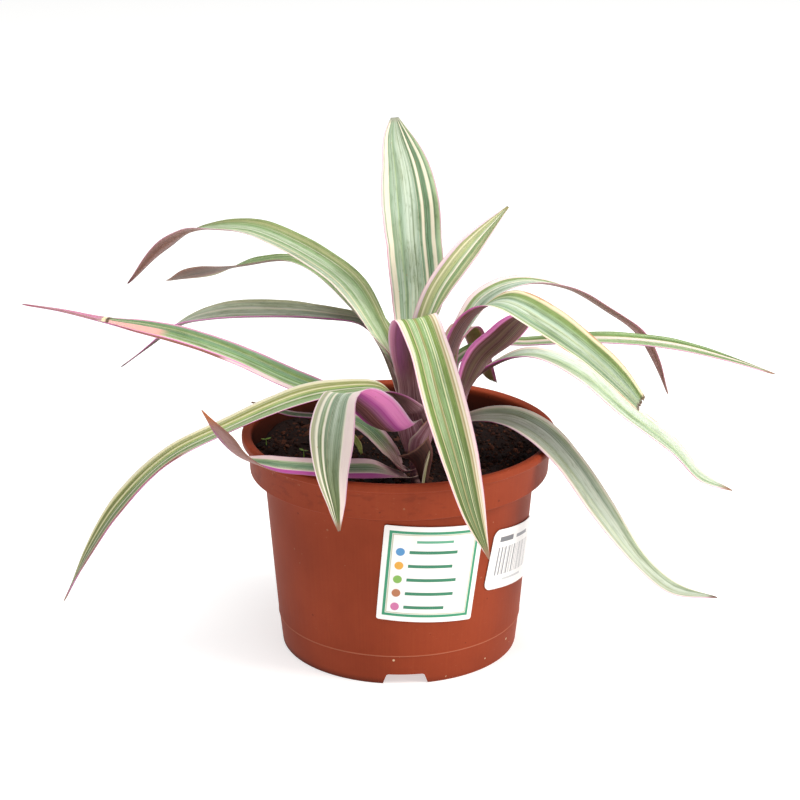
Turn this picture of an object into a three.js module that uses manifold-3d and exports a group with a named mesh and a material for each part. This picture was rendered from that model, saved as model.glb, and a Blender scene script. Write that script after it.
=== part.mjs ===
// A variegated boat lily (Tradescantia spathacea) in a 14 cm nursery pot.
// Millimetres, +Z up. The pot's axis is X = Y = 0, its foot stands on Z = 0, and its front faces -Y.

import * as THREE from "three";
import { mergeVertices } from "three/addons/utils/BufferGeometryUtils.js";
import Module from "manifold-3d";

const wasm = await Module();
wasm.setup();

// ---- driving dimensions -------------------------------------------------------------------

const GAP = 0.3;

const POT_SIDES = 48;
const POT_HEIGHT = 99.4;
const POT_TOP_RADIUS = 70;
const POT_WALL = 1.3;
const LIP_INNER_RADIUS = 65.6;
const BAND_HIGH = 95;
const BAND_HIGH_RADIUS = 67.4;
const BAND_LOW = 82.2;
const BAND_LOW_RADIUS = 66.4;
const BODY_HIGH = 80;
const BODY_HIGH_RADIUS = 60.2;
const BODY_LOW = 14;
const BODY_LOW_RADIUS = 54.8;
const FOOT_RADIUS = 53.2;
const FOOT_RING_WIDTH = 2.4;
const FLOOR_UNDER = 6;
const FLOOR_TOP = 7.6;
const DRAIN_RADIUS = 4;
const DRAIN_RING = 32;
const DRAIN_COUNT = 6;
const NOTCH_COUNT = 3;
const NOTCH_WIDTH = 19;
const NOTCH_HEIGHT = 4.8;
const NOTCH_SLOPE = 2;
const NOTCH_TURN = 3;

const SOIL_LEVEL = 89;
const SOIL_RINGS = [55, 40, 22];
const SOIL_LUMP = 1.3;
const SOIL_FLAT_NEAR_STEM = 9;

const LABEL_THICK = 0.5;
const LABEL_ACROSS = 8;
const SQUARE_LABEL = { width: 44, height: 45.5, corner: 1, turn: 13.7, middle: 53.4, tilt: -5.5 };
const ROUND_LABEL = { width: 40, height: 28, corner: 3.5, turn: 61.5, middle: 51, tilt: -9.5 };

const STEM_RADIUS = 3;
const STEM_DEPTH = 24;
const STEM_SIDES = 12;
const PEG_DEPTH = 5;
const PEG_RADIUS = 1;
const SEEDLING_DEPTH = 4;
const SEEDLING_RADIUS = 0.4;
const BLADE_THICK = 0.7;
const ACROSS = 6;
const STATION_STEP = 9;
const FIRST_SHEATH = 1.5;
const SHEATH_SPACING = 3.45;
const SHEATH_SLOPE = 0.36;
const SHEATH_ROWS = [
  { rise: 0, wrap: 195, clasp: 1 },
  { rise: 5, wrap: 172, clasp: 1 },
  { rise: 10, wrap: 140, clasp: 1 },
  { rise: 14, wrap: 90, clasp: 0.8 },
];

// ---- helpers ------------------------------------------------------------------------------

const UP = new THREE.Vector3(0, 0, 1);
const vec = (x, y, z) => new THREE.Vector3(x, y, z);
const radians = THREE.MathUtils.degToRad;
const upright = (geometry) => geometry.rotateX(Math.PI / 2);

function toSolid(geometry) {
  const bare = geometry.clone();
  bare.deleteAttribute("normal");
  bare.deleteAttribute("uv");
  const merged = mergeVertices(bare, 1e-4);
  const vertProperties = Float32Array.from(merged.attributes.position.array);
  const triVerts = Uint32Array.from(merged.index.array);
  return new wasm.Manifold(new wasm.Mesh({ numProp: 3, vertProperties, triVerts }));
}

function toGeometry(solid) {
  const mesh = solid.getMesh();
  const geometry = new THREE.BufferGeometry();
  geometry.setAttribute("position", new THREE.BufferAttribute(mesh.vertProperties, 3));
  geometry.setIndex(new THREE.BufferAttribute(mesh.triVerts, 1));
  return geometry;
}

function cut(geometry, tools) {
  let solid = toSolid(geometry);
  for (const tool of tools) solid = solid.subtract(toSolid(tool));
  return toGeometry(solid);
}

function join(geometries) {
  let solid = toSolid(geometries[0]);
  for (const other of geometries.slice(1)) solid = solid.add(toSolid(other));
  return toGeometry(solid);
}

// A thin closed skin from two like grids of points, one for each face, and a rim round them.
function closedSheet(front, back) {
  const rows = front.length;
  const columns = front[0].length;
  const positions = [...front.flat(), ...back.flat()].flatMap((p) => [p.x, p.y, p.z]);
  const shift = rows * columns;
  const at = (i, j) => i * columns + j;
  const face = [];
  for (let i = 0; i < rows - 1; i += 1) {
    for (let j = 0; j < columns - 1; j += 1) {
      face.push([at(i, j), at(i, j + 1), at(i + 1, j + 1)]);
      face.push([at(i, j), at(i + 1, j + 1), at(i + 1, j)]);
    }
  }
  const triangles = face.flat();
  for (const [a, b, c] of face) triangles.push(a + shift, c + shift, b + shift);
  const rim = [];
  for (let j = 0; j < columns - 1; j += 1) rim.push(at(0, j));
  for (let i = 0; i < rows - 1; i += 1) rim.push(at(i, columns - 1));
  for (let j = columns - 1; j > 0; j -= 1) rim.push(at(rows - 1, j));
  for (let i = rows - 1; i > 0; i -= 1) rim.push(at(i, 0));
  rim.forEach((a, k) => {
    const b = rim[(k + 1) % rim.length];
    triangles.push(a, a + shift, b, b, a + shift, b + shift);
  });
  const geometry = new THREE.BufferGeometry();
  geometry.setAttribute("position", new THREE.Float32BufferAttribute(positions, 3));
  geometry.setIndex(triangles);
  return geometry;
}

// A round peg, or the tool for a plain hole, along a line from a point at the soil's level.
function pegAlong(foot, direction, from, to, radius) {
  const peg = upright(new THREE.CylinderGeometry(radius, radius, to - from, STEM_SIDES));
  peg.translate(0, 0, (from + to) / 2);
  peg.applyQuaternion(new THREE.Quaternion().setFromUnitVectors(UP, direction));
  return peg.translate(foot.x, foot.y, foot.z);
}

const finish = (color, roughness) =>
  new THREE.MeshStandardMaterial({ color, roughness, metalness: 0 });
const terracotta = finish("#b4583c", 0.6);
const peat = finish("#2b1a14", 0.95);
const card = finish("#f3f2ee", 0.7);
const bladeGreen = finish("#8ea878", 0.45);
const stemPurple = finish("#6d4050", 0.6);
const driedLeaf = finish("#a8a56e", 0.8);
const seedlingGreen = finish("#8fc23c", 0.5);

const plant = new THREE.Group();

function place(name, geometry, material) {
  const mesh = new THREE.Mesh(geometry, material);
  mesh.name = name;
  plant.add(mesh);
}

function lathe(profile) {
  return upright(new THREE.LatheGeometry(profile.map(([r, z]) => new THREE.Vector2(r, z)), POT_SIDES));
}

// ---- the pot ------------------------------------------------------------------------------

const bodySlope = (BODY_HIGH_RADIUS - BODY_LOW_RADIUS) / (BODY_HIGH - BODY_LOW);
const bodyRadius = (z) => BODY_LOW_RADIUS + (z - BODY_LOW) * bodySlope;

const foot = [
  [0, FLOOR_UNDER],
  [FOOT_RADIUS - FOOT_RING_WIDTH - 0.6, FLOOR_UNDER],
  [FOOT_RADIUS - FOOT_RING_WIDTH, FLOOR_UNDER - 0.8],
  [FOOT_RADIUS - FOOT_RING_WIDTH, 0],
  [FOOT_RADIUS - 0.6, 0],
  [FOOT_RADIUS, 0.5],
];
const outerWall = [
  [BODY_LOW_RADIUS - 0.7, BODY_LOW - 0.6],
  [BODY_LOW_RADIUS, BODY_LOW],
  [BODY_HIGH_RADIUS, BODY_HIGH],
  [BODY_HIGH_RADIUS + 0.5, BAND_LOW - 0.6],
  [BODY_HIGH_RADIUS + 1.2, BAND_LOW],
];
const band = [
  [BAND_LOW_RADIUS - 0.5, BAND_LOW],
  [BAND_LOW_RADIUS, BAND_LOW + 0.6],
  [BAND_HIGH_RADIUS, BAND_HIGH],
];
const lip = [
  [POT_TOP_RADIUS - 0.7, BAND_HIGH + 0.9],
  [POT_TOP_RADIUS, BAND_HIGH + 2],
  [POT_TOP_RADIUS - 0.2, POT_HEIGHT - 0.9],
  [POT_TOP_RADIUS - 1.1, POT_HEIGHT],
  [POT_TOP_RADIUS - 2.8, POT_HEIGHT - 0.2],
  [LIP_INNER_RADIUS, POT_HEIGHT - 1.6],
];
const innerWall = [
  [BAND_LOW_RADIUS - POT_WALL - 0.6, BAND_LOW + POT_WALL + 1],
  [BODY_HIGH_RADIUS - POT_WALL + 1, BAND_LOW + POT_WALL - 0.6],
  [BODY_HIGH_RADIUS - POT_WALL, BODY_HIGH - 1],
  [BODY_LOW_RADIUS - POT_WALL, BODY_LOW],
  [FOOT_RADIUS - POT_WALL, FLOOR_TOP],
];

function drainHoles() {
  const places = [[0, 0]];
  for (let k = 0; k < DRAIN_COUNT; k += 1) {
    const turn = (k / DRAIN_COUNT) * 2 * Math.PI;
    places.push([DRAIN_RING * Math.cos(turn), DRAIN_RING * Math.sin(turn)]);
  }
  return places.map(([x, y]) => {
    const hole = upright(new THREE.CylinderGeometry(DRAIN_RADIUS, DRAIN_RADIUS, 8, STEM_SIDES));
    return hole.translate(x, y, FLOOR_UNDER);
  });
}

// The notches let water out from under the foot ring. One of them faces the front.
function footNotches() {
  const half = NOTCH_WIDTH / 2;
  const shoulder = NOTCH_HEIGHT - 1.4;
  const outline = new THREE.Shape();
  outline.moveTo(-half - 0.3, -2);
  outline.lineTo(half + 0.3, -2);
  outline.lineTo(half - NOTCH_SLOPE * 0.4, shoulder);
  outline.lineTo(half - NOTCH_SLOPE, NOTCH_HEIGHT);
  outline.lineTo(NOTCH_SLOPE - half, NOTCH_HEIGHT);
  outline.lineTo(NOTCH_SLOPE * 0.4 - half, shoulder);
  const notches = [];
  for (let k = 0; k < NOTCH_COUNT; k += 1) {
    const notch = upright(new THREE.ExtrudeGeometry(outline, { depth: 12, bevelEnabled: false }));
    notch.translate(0, 6 - FOOT_RADIUS, 0);
    notches.push(notch.rotateZ(radians(NOTCH_TURN + (360 * k) / NOTCH_COUNT)));
  }
  return notches;
}

const potSolid = lathe([...foot, ...outerWall, ...band, ...lip, ...innerWall, [0, FLOOR_TOP]]);
place("pot_shell", cut(potSolid, [...drainHoles(), ...footNotches()]), terracotta);

// ---- stems and their leaves ---------------------------------------------------------------

const STEMS = {
  main: { foot: vec(7.5, -38, SOIL_LEVEL), lean: vec(-1.7, 14, 42).normalize(), tall: 47 },
  side: { foot: vec(19, -2, SOIL_LEVEL), lean: vec(1, -2, 30).normalize(), tall: 15 },
};

// A leaf clasps its stem at its rank, counted up from the soil, and then follows its middle line.
// The two oldest leaves have lost the upper rings of their sheaths.
// Points of the line: [x, y, z, blade width, curl across the blade in degrees, roll in degrees].
const LEAVES = {
  leaf_on_rim: { stem: "main", rank: 0, rings: 1, line: [
    [2, -46, 93.7, 11, 90, 0],
    [-9.5, -53, 99, 16, 50, 12],
    [-24, -58, 101, 17, 40, 8],
    [-40, -61, 103, 17, 40, 6],
    [-54, -63, 105.5, 15, 45, 4],
    [-66, -64, 110, 12.5, 50, -26],
    [-73.5, -64, 118.5, 11.5, 40, -42],
    [-81.7, -64, 130.8, 1.2, 20, -36],
  ] },
  leaf_over_soil: { stem: "main", rank: 1, rings: 1, line: [
    [1, -43, 96.5, 9, 90, 0],
    [-4.7, -40, 103.3, 12, 60, 0],
    [-13.3, -35, 111.3, 13, 50, 0],
    [-21.5, -29, 114, 11, 50, 0],
    [-34, -19, 111.5, 8, 50, 0],
    [-48, -8, 109, 6, 40, 0],
    [-66, 6, 110, 1.2, 20, 0],
  ] },
  leaf_right_arch: { stem: "main", rank: 2, line: [
    [21, -37, 128, 11, 80, 0],
    [23, -37, 147, 14, 60, 0],
    [31.6, -43, 165.5, 20, 40, 0],
    [43, -51, 173.2, 24, 30, -2],
    [59.3, -60, 167.2, 26, 30, -6],
    [77, -66, 155.6, 25, 30, -5],
    [89.6, -69, 144.6, 22, 30, -8],
    [98.8, -71, 134.8, 16, 30, -4],
  ] },
  leaf_front_left: { stem: "main", rank: 3, line: [
    [-2.5, -54, 118, 20, 60, -15],
    [-13.5, -63, 132.3, 25, 40, -25],
    [-21.8, -70, 139.5, 24.5, 20, -15],
    [-26, -74, 127.6, 22.5, 30, 0],
    [-27.6, -78, 110, 14.6, 40, 0],
    [-26, -81, 95, 8.2, 40, 0],
    [-24.7, -83, 84.5, 1.2, 20, 0],
  ] },
  leaf_low_left: { stem: "main", rank: 4, line: [
    [4, -42, 122.5, 13, 80, -26],
    [-1.5, -45, 130, 11, 60, -18],
    [-9, -46, 133.5, 14, 50, 0],
    [-22.7, -46, 133, 18, 45, 2],
    [-42, -46, 128.8, 22.5, 40, 4],
    [-73, -47, 115.5, 22, 40, 0],
    [-97.7, -48, 102.6, 22.5, 35, 3],
    [-118.5, -48, 81.5, 24, 35, 8],
    [-133.2, -48, 60, 15, 30, 10],
    [-145.6, -48, 36.9, 1.2, 20, 0],
  ] },
  leaf_hanging_back: { stem: "main", rank: 5, line: [
    [22, -11.5, 130.5, 7, 60, 0],
    [23, -4, 140, 9, 50, 0],
    [27.5, 6, 144, 11, 40, 0],
    [31.3, 16, 141, 12, 30, 0],
    [35.3, 24, 129.5, 12.5, 20, 0],
    [40.5, 26.5, 113.8, 14, 20, 0],
  ] },
  leaf_long_left: { stem: "main", rank: 6, line: [
    [-27, -17, 119.5, 17, 60, 4],
    [-45.5, -15, 124.5, 20.5, 50, 6],
    [-72.7, -10, 135.7, 19, 45, 6],
    [-96, -5, 142.5, 17.5, 45, 6],
    [-113.5, 0, 145.3, 15, 45, 4],
    [-129.5, 4, 148, 7.5, 45, 0],
    [-149, 9, 151.4, 3.6, 30, 0],
    [-167, 14, 153, 1.2, 20, 0],
  ] },
  leaf_front: { stem: "main", rank: 7, line: [
    [5, -44, 142, 16, 60, 0],
    [5, -49, 157.5, 19, 30, 0],
    [6.7, -54, 167, 20, 20, 0],
    [11.5, -60, 156.5, 20.5, 25, 0],
    [17.4, -68, 136, 22.5, 35, 0],
    [24.2, -76, 113, 19.5, 40, 0],
    [30, -84, 92.7, 13.2, 40, 0],
    [37, -90, 75, 1.2, 20, 0],
  ] },
  leaf_mid_left: { stem: "main", rank: 8, line: [
    [-6, 1, 140, 14, 70, 0],
    [-15.5, 7, 146, 12, 55, 0],
    [-33, 16, 146, 18.5, 50, 0],
    [-58, 30, 143, 23, 50, 4],
    [-84, 44, 137.8, 24, 45, 6],
    [-101, 54, 131, 16, 35, 4],
    [-117, 62, 118, 4, 30, 0],
    [-132, 70, 105, 1.2, 20, 0],
  ] },
  leaf_right_behind: { stem: "main", rank: 9, line: [
    [26, -20, 150, 11, 70, 0],
    [37.2, -6, 161.7, 13.5, 50, 0],
    [53.2, 6, 165, 15.5, 45, 0],
    [74, 18, 159.2, 12, 40, 4],
    [94.4, 28, 145.4, 7.5, 35, 18],
    [109.4, 34, 132.8, 7.5, 35, 18],
    [117.7, 38, 118, 6, 30, 16],
    [124, 40, 101.7, 1.2, 20, 0],
  ] },
  leaf_back_left: { stem: "main", rank: 10, line: [
    [-16, 10, 151, 13, 60, 0],
    [-45, 45, 163.7, 11, 40, 0],
    [-71, 64, 157, 20, 35, 0],
    [-94, 78, 148, 20, 30, -22],
    [-111, 90, 142, 1.2, 20, -10],
  ] },
  leaf_upper_left: { stem: "main", rank: 11, line: [
    [-9, -19, 149.5, 13, 90, 0],
    [-25.9, 3, 167.3, 20, 45, 0],
    [-61.2, 26, 181.6, 22.3, 35, 0],
    [-79, 38, 181.2, 22, 30, 0],
    [-95, 48, 177, 14, 30, -8],
    [-110, 56, 166, 9, 30, -25],
    [-126, 64, 148, 1.2, 20, -20],
  ] },
  leaf_small_upright: { stem: "main", rank: 12, line: [
    [11, -30, 155, 14, 95, -8],
    [16.5, -25, 169, 12.7, 78, -22],
    [23.8, -20, 179.3, 12.5, 66, -30],
    [32.2, -13, 188.3, 10.3, 60, -30],
    [47, 0, 201, 1.2, 30, -20],
  ] },
  leaf_tall_upright: { stem: "main", rank: 13, line: [
    [7, -7, 152, 20, 90, 0],
    [7.1, -4, 164, 25.5, 60, 0],
    [5, -1, 186, 28, 45, 0],
    [3.8, 2, 202, 27.5, 40, 0],
    [1.8, 7, 216, 24, 40, 0],
    [-0.9, 11, 228, 15.5, 35, 0],
    [-2, 14, 237, 3.6, 20, 0],
  ] },
  leaf_right_front: { stem: "side", rank: 0, line: [
    [45.6, -10, 107.3, 20, 60, -5],
    [59, -19, 104.2, 23, 44, -1],
    [71.4, -26, 94, 22.8, 38, 0],
    [87.2, -34, 73.2, 23, 35, 0],
    [104.8, -42, 52, 14, 35, 0],
    [118.6, -48, 42.3, 12.5, 35, 0],
    [137.1, -54, 41.6, 1.2, 20, 0],
  ] },
  leaf_right_low: { stem: "side", rank: 1, line: [
    [33, 2, 121, 10, 70, 0],
    [42, -4, 130.5, 12, 60, 0],
    [52.4, -8, 136, 15.5, 50, 0],
    [62.8, -14, 137.4, 14.5, 40, 0],
    [78.3, -22, 131.7, 19, 40, 0],
    [97, -28, 117, 22, 35, -1],
    [117.8, -32, 101.4, 20, 35, 0],
    [130, -34, 89, 14, 30, 0],
    [144, -36, 84, 1.2, 20, 0],
  ] },
  leaf_far_right: { stem: "side", rank: 2, line: [
    [26, 9, 128, 11, 70, 0],
    [41, 11, 135, 13, 50, 0],
    [58, 12, 135.2, 12.5, 50, 0],
    [89, 15, 135.7, 17, 40, 0],
    [121, 15, 133, 17, 35, 0],
    [147, 11, 128, 8.5, 30, 0],
    [167, 6, 123, 1.2, 20, 0],
  ] },
  leaf_seen_below: { stem: "side", rank: 3, line: [
    [28, -18, 122, 11, 80, 8],
    [36, -20, 138, 20, 60, 25],
    [45.3, -26, 149.6, 18, 55, 30],
    [52, -32, 159.5, 16, 50, 20],
    [58, -36, 168, 1.2, 30, 0],
  ] },
};

const stemPoint = (stem, height) => stem.foot.clone().addScaledVector(stem.lean, height);

// The rows that steer a leaf. On the sheath the section is a ring round the stem (clasp 1), and
// each ring is wider than the one below it, so that the sheaths nest like a stack of cones.
function leafRows({ stem: stemName, rank, rings = SHEATH_ROWS.length, line }) {
  const stem = STEMS[stemName];
  const height = FIRST_SHEATH + rank * SHEATH_SPACING;
  const out = vec(...line[0]).sub(stemPoint(stem, height));
  out.addScaledVector(stem.lean, -out.dot(stem.lean)).normalize();
  const sheath = SHEATH_ROWS.slice(0, rings).map(({ rise, wrap, clasp }) => {
    const reach = STEM_RADIUS + GAP + BLADE_THICK / 2 + rise * SHEATH_SLOPE;
    const point = stemPoint(stem, height + rise).addScaledVector(out, reach);
    return { point, width: radians(wrap) * reach, curl: wrap, roll: 0, clasp };
  });
  const ring = { side: out.clone().cross(stem.lean), normal: out.clone().negate() };
  return { rows: [...sheath, ...freeRows(line)], ring };
}

function freeRows(line) {
  return line.map(([x, y, z, width, curl, roll]) => {
    return { point: vec(x, y, z), width, curl, roll, clasp: 0 };
  });
}

// The way the blade heads over the ground at each row, from the rows before and after it.
function headings(rows) {
  return rows.map((row, k) => {
    const before = rows[Math.max(k - 1, 0)].point;
    const after = rows[Math.min(k + 1, rows.length - 1)].point;
    return after.clone().sub(before).setZ(0).normalize();
  });
}

function sectionAt(curves, ring, t, heading, clasp) {
  const tangent = curves.line.getTangent(t);
  const side = heading.clone().cross(UP);
  side.addScaledVector(tangent, -side.dot(tangent)).normalize();
  const normal = side.clone().cross(tangent);
  const form = curves.form.getPoint(t);
  const roll = radians(form.z);
  const rolledSide = side.clone().multiplyScalar(Math.cos(roll)).addScaledVector(normal, Math.sin(roll));
  const rolledNormal = normal.multiplyScalar(Math.cos(roll)).addScaledVector(side, -Math.sin(roll));
  return {
    point: curves.line.getPoint(t),
    side: rolledSide.lerp(ring.side, clasp).normalize(),
    normal: rolledNormal.lerp(ring.normal, clasp).normalize(),
    width: Math.max(form.x, 1),
    curl: radians(Math.max(form.y, 8)),
  };
}

function bladeSections(rows, ring) {
  const form = rows.map((row) => vec(row.width, row.curl, row.roll));
  const curves = {
    line: new THREE.CatmullRomCurve3(rows.map((row) => row.point), false, "centripetal"),
    form: new THREE.CatmullRomCurve3(form, false, "catmullrom", 0.5),
  };
  const heading = headings(rows);
  const spans = rows.length - 1;
  const sections = [];
  for (let k = 0; k < spans; k += 1) {
    const length = rows[k].point.distanceTo(rows[k + 1].point);
    const steps = Math.max(1, Math.round(length / STATION_STEP));
    for (let step = 0; step < steps; step += 1) {
      const share = step / steps;
      const clasp = THREE.MathUtils.lerp(rows[k].clasp, rows[k + 1].clasp, share);
      const way = heading[k].clone().lerp(heading[k + 1], share);
      sections.push(sectionAt(curves, ring, (k + share) / spans, way, clasp));
    }
  }
  sections.push(sectionAt(curves, ring, 1, heading[spans], rows[spans].clasp));
  return sections;
}

// Each section is an arc across the blade, hollow on the upper face.
function blade({ rows, ring }) {
  const upper = [];
  const under = [];
  for (const { point, side, normal, width, curl } of bladeSections(rows, ring)) {
    const centre = point.clone().addScaledVector(normal, width / curl);
    const arc = (radius) =>
      Array.from({ length: ACROSS + 1 }, (_, j) => {
        const turn = curl * (j / ACROSS - 0.5);
        const reach = centre.clone().addScaledVector(normal, -radius * Math.cos(turn));
        return reach.addScaledVector(side, radius * Math.sin(turn));
      });
    upper.push(arc(width / curl - BLADE_THICK / 2));
    under.push(arc(width / curl + BLADE_THICK / 2));
  }
  return closedSheet(upper, under);
}

for (const [name, leaf] of Object.entries(LEAVES)) place(name, blade(leafRows(leaf)), bladeGreen);

const soilHoles = [];
for (const [name, stem] of Object.entries(STEMS)) {
  place(`stem_${name}`, pegAlong(stem.foot, stem.lean, -STEM_DEPTH, stem.tall, STEM_RADIUS), stemPurple);
  soilHoles.push(pegAlong(stem.foot, stem.lean, -STEM_DEPTH - GAP, 12, STEM_RADIUS + GAP));
}

// ---- small things that stand in the soil --------------------------------------------------

const flatRing = { side: vec(1, 0, 0), normal: vec(0, -1, 0) };

// A peg below the strip stands in a plain hole, so each of these is one planted body.
function plantStrip(name, line, material) {
  const [x, y, z] = line[0];
  const foot = vec(x, y, z);
  const peg = pegAlong(foot, UP, -PEG_DEPTH, 0.6, PEG_RADIUS);
  place(name, join([blade({ rows: freeRows(line), ring: flatRing }), peg]), material);
  soilHoles.push(pegAlong(foot, UP, -PEG_DEPTH - GAP, 8, PEG_RADIUS + GAP));
}

// The old sheath is a half cup in front of the stem, cut off askew.
plantStrip("old_sheath", [
  [10.8, -45.8, 90.8, 3.6, 130, -65],
  [10.3, -46.1, 98, 7.8, 110, -65],
  [9, -46.7, 103.4, 13, 95, -65],
  [6.1, -47.9, 107.1, 18.2, 80, -65],
], driedLeaf);
plantStrip("dry_sheath", [
  [10, -51, 90.8, 3.2, 70, 0],
  [11.6, -51.2, 101, 4.8, 70, 0],
  [13, -51, 107.9, 1.2, 30, 0],
], driedLeaf);
plantStrip("cut_stub", [
  [-16.8, -10.4, 91, 3, 80, 0],
  [-18.5, -10, 95, 6, 80, 0],
  [-20.8, -9.1, 99.5, 4, 60, 0],
], driedLeaf);

// A seedling is a thread of a stalk with its two seed leaves.
function plantSeedling(name, x, y, stalk, turn) {
  const foot = vec(x, y, SOIL_LEVEL);
  const seedLeaf = (sign) => {
    const lobe = new THREE.SphereGeometry(1, 8, 5).scale(1.3, 0.9, 0.4);
    lobe.rotateY(radians(-18 * sign)).translate(1.1 * sign, 0, stalk + 0.3);
    return lobe.rotateZ(radians(turn)).translate(x, y, SOIL_LEVEL);
  };
  const stalkPeg = pegAlong(foot, UP, -SEEDLING_DEPTH, stalk + 0.4, SEEDLING_RADIUS);
  place(name, join([stalkPeg, seedLeaf(1), seedLeaf(-1)]), seedlingGreen);
  soilHoles.push(pegAlong(foot, UP, -SEEDLING_DEPTH - GAP, 3, SEEDLING_RADIUS + GAP));
}

plantSeedling("seedling_left", -59.7, 6.5, 3, 20);
plantSeedling("seedling_middle", -42.3, -7.5, 2.8, -35);

// ---- the soil -----------------------------------------------------------------------------

const stemFeet = Object.values(STEMS).map((stem) => stem.foot);

function soilLump(x, y) {
  const near = Math.min(...stemFeet.map((stemFoot) => Math.hypot(x - stemFoot.x, y - stemFoot.y)));
  const fade = THREE.MathUtils.smoothstep(near, SOIL_FLAT_NEAR_STEM, 2 * SOIL_FLAT_NEAR_STEM);
  const waves = Math.sin(x * 0.21 + 1) * Math.cos(y * 0.17) + 0.6 * Math.sin(x * 0.43 - y * 0.37);
  return fade * SOIL_LUMP * waves;
}

function soilBody() {
  const wall = [
    [0, FLOOR_TOP + GAP],
    [FOOT_RADIUS - POT_WALL - GAP, FLOOR_TOP + GAP],
    [BODY_LOW_RADIUS - POT_WALL - GAP, BODY_LOW],
    [BODY_HIGH_RADIUS - POT_WALL - GAP, BODY_HIGH - 1],
    [BODY_HIGH_RADIUS - POT_WALL + 1 - GAP, BAND_LOW + POT_WALL - 0.6 + GAP],
    [BAND_LOW_RADIUS - POT_WALL - 0.6 - GAP, BAND_LOW + POT_WALL + 1 + GAP],
    [BAND_LOW_RADIUS - POT_WALL - 0.5 - GAP, SOIL_LEVEL - 1],
  ];
  const top = [...SOIL_RINGS, 0].map((r) => [r, SOIL_LEVEL]);
  const body = lathe([...wall, ...top]);
  const points = body.attributes.position;
  for (let k = 0; k < points.count; k += 1) {
    if (points.getZ(k) < SOIL_LEVEL - 0.01) continue;
    points.setZ(k, SOIL_LEVEL + soilLump(points.getX(k), points.getY(k)));
  }
  return cut(body, soilHoles);
}
place("soil", soilBody(), peat);

// ---- the two paper labels on the pot's wall -----------------------------------------------

// Rows run down the label. Near the corners a row is shorter, which rounds them.
function potLabel({ width, height, corner, turn, middle, tilt }) {
  const half = height / 2;
  const steps = [0, 0.3, 1].map((share) => half - corner * share);
  const down = [...steps, half / 2, 0, -half / 2, ...steps.reverse().map((v) => -v)];
  const slant = radians(tilt);
  const layer = (lift) =>
    down.map((v) => {
      const into = Math.max(0, Math.abs(v) - (half - corner));
      const inset = corner - Math.sqrt(corner * corner - into * into);
      return Array.from({ length: LABEL_ACROSS + 1 }, (_, j) => {
        const u = (width / 2 - inset) * ((2 * j) / LABEL_ACROSS - 1);
        const along = u * Math.cos(slant) - v * Math.sin(slant);
        const z = middle + u * Math.sin(slant) + v * Math.cos(slant);
        const angle = radians(turn) + along / bodyRadius(middle);
        const radius = bodyRadius(z) + GAP + lift;
        return vec(radius * Math.sin(angle), -radius * Math.cos(angle), z);
      });
    });
  return closedSheet(layer(0), layer(LABEL_THICK));
}

place("label_square", potLabel(SQUARE_LABEL), card);
place("label_rounded", potLabel(ROUND_LABEL), card);

export default plant;
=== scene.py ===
# %% [markdown]
# # A variegated boat lily in its nursery pot
# This lesson dresses a potted plant. The solid model gives every leaf, stem, label and the pot
# their places and sizes. Here each one gets its fine shape and its finish: long strap leaves with
# painted-looking stripes above and purple below, a moulded plastic pot, two paper labels and
# a bed of peat.

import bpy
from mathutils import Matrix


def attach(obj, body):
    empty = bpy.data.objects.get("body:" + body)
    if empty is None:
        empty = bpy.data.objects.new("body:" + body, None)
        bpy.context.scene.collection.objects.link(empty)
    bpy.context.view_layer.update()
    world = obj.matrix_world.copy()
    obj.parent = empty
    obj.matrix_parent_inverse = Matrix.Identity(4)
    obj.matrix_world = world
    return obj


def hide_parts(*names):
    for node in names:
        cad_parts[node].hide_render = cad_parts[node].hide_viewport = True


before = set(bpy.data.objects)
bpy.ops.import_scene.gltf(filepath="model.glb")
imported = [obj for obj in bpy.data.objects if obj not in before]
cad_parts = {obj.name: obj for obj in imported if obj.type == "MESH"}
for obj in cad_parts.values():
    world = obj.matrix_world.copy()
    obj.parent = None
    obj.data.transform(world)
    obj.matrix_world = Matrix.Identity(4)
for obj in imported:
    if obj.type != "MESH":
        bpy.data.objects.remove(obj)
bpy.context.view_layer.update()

# %% Libraries and the unit
import math
import random

import bmesh
import bpy
from mathutils import Matrix, Vector, noise

MM = 0.001
UP = Vector((0, 0, 1))

# %% [markdown]
# ## The photographer's place
# The photograph was taken from a little above the pot with a long lens, so the pot's lip shows as
# a flat ellipse and far leaves are hardly smaller than near ones. A camera one metre away with
# a lens of about 100 mm gives the same flat perspective. It is turned down by the same angle
# that opens the ellipse of the lip.

# %% Camera
CAMERA_DISTANCE = 1.0
CAMERA_RISE = math.radians(19.1)
CAMERA_TARGET = Vector((0.4, 0, 113)) * MM
SENSOR_MM = 36
LENS_MM = 101.6

photo_lens = bpy.data.cameras.new("photo_lens")
photo_lens.sensor_width = SENSOR_MM
photo_lens.lens = LENS_MM
camera = bpy.data.objects.new("photo_camera", photo_lens)
away = Vector((0, -math.cos(CAMERA_RISE), math.sin(CAMERA_RISE)))
camera.location = CAMERA_TARGET + away * CAMERA_DISTANCE
camera.rotation_euler = (math.pi / 2 - CAMERA_RISE, 0, 0)
bpy.context.scene.collection.objects.link(camera)
bpy.context.scene.camera = camera
print("camera at", tuple(round(value, 3) for value in camera.location))

# %% [markdown]
# ## Node trees written as sums
# Shaders and geometry trees are long lists of small maths nodes. A wire is one output socket that
# behaves like a number: adding, multiplying or comparing two wires adds the node that does
# it. One method, node, makes any other kind of node from its settings and its sockets.

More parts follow.
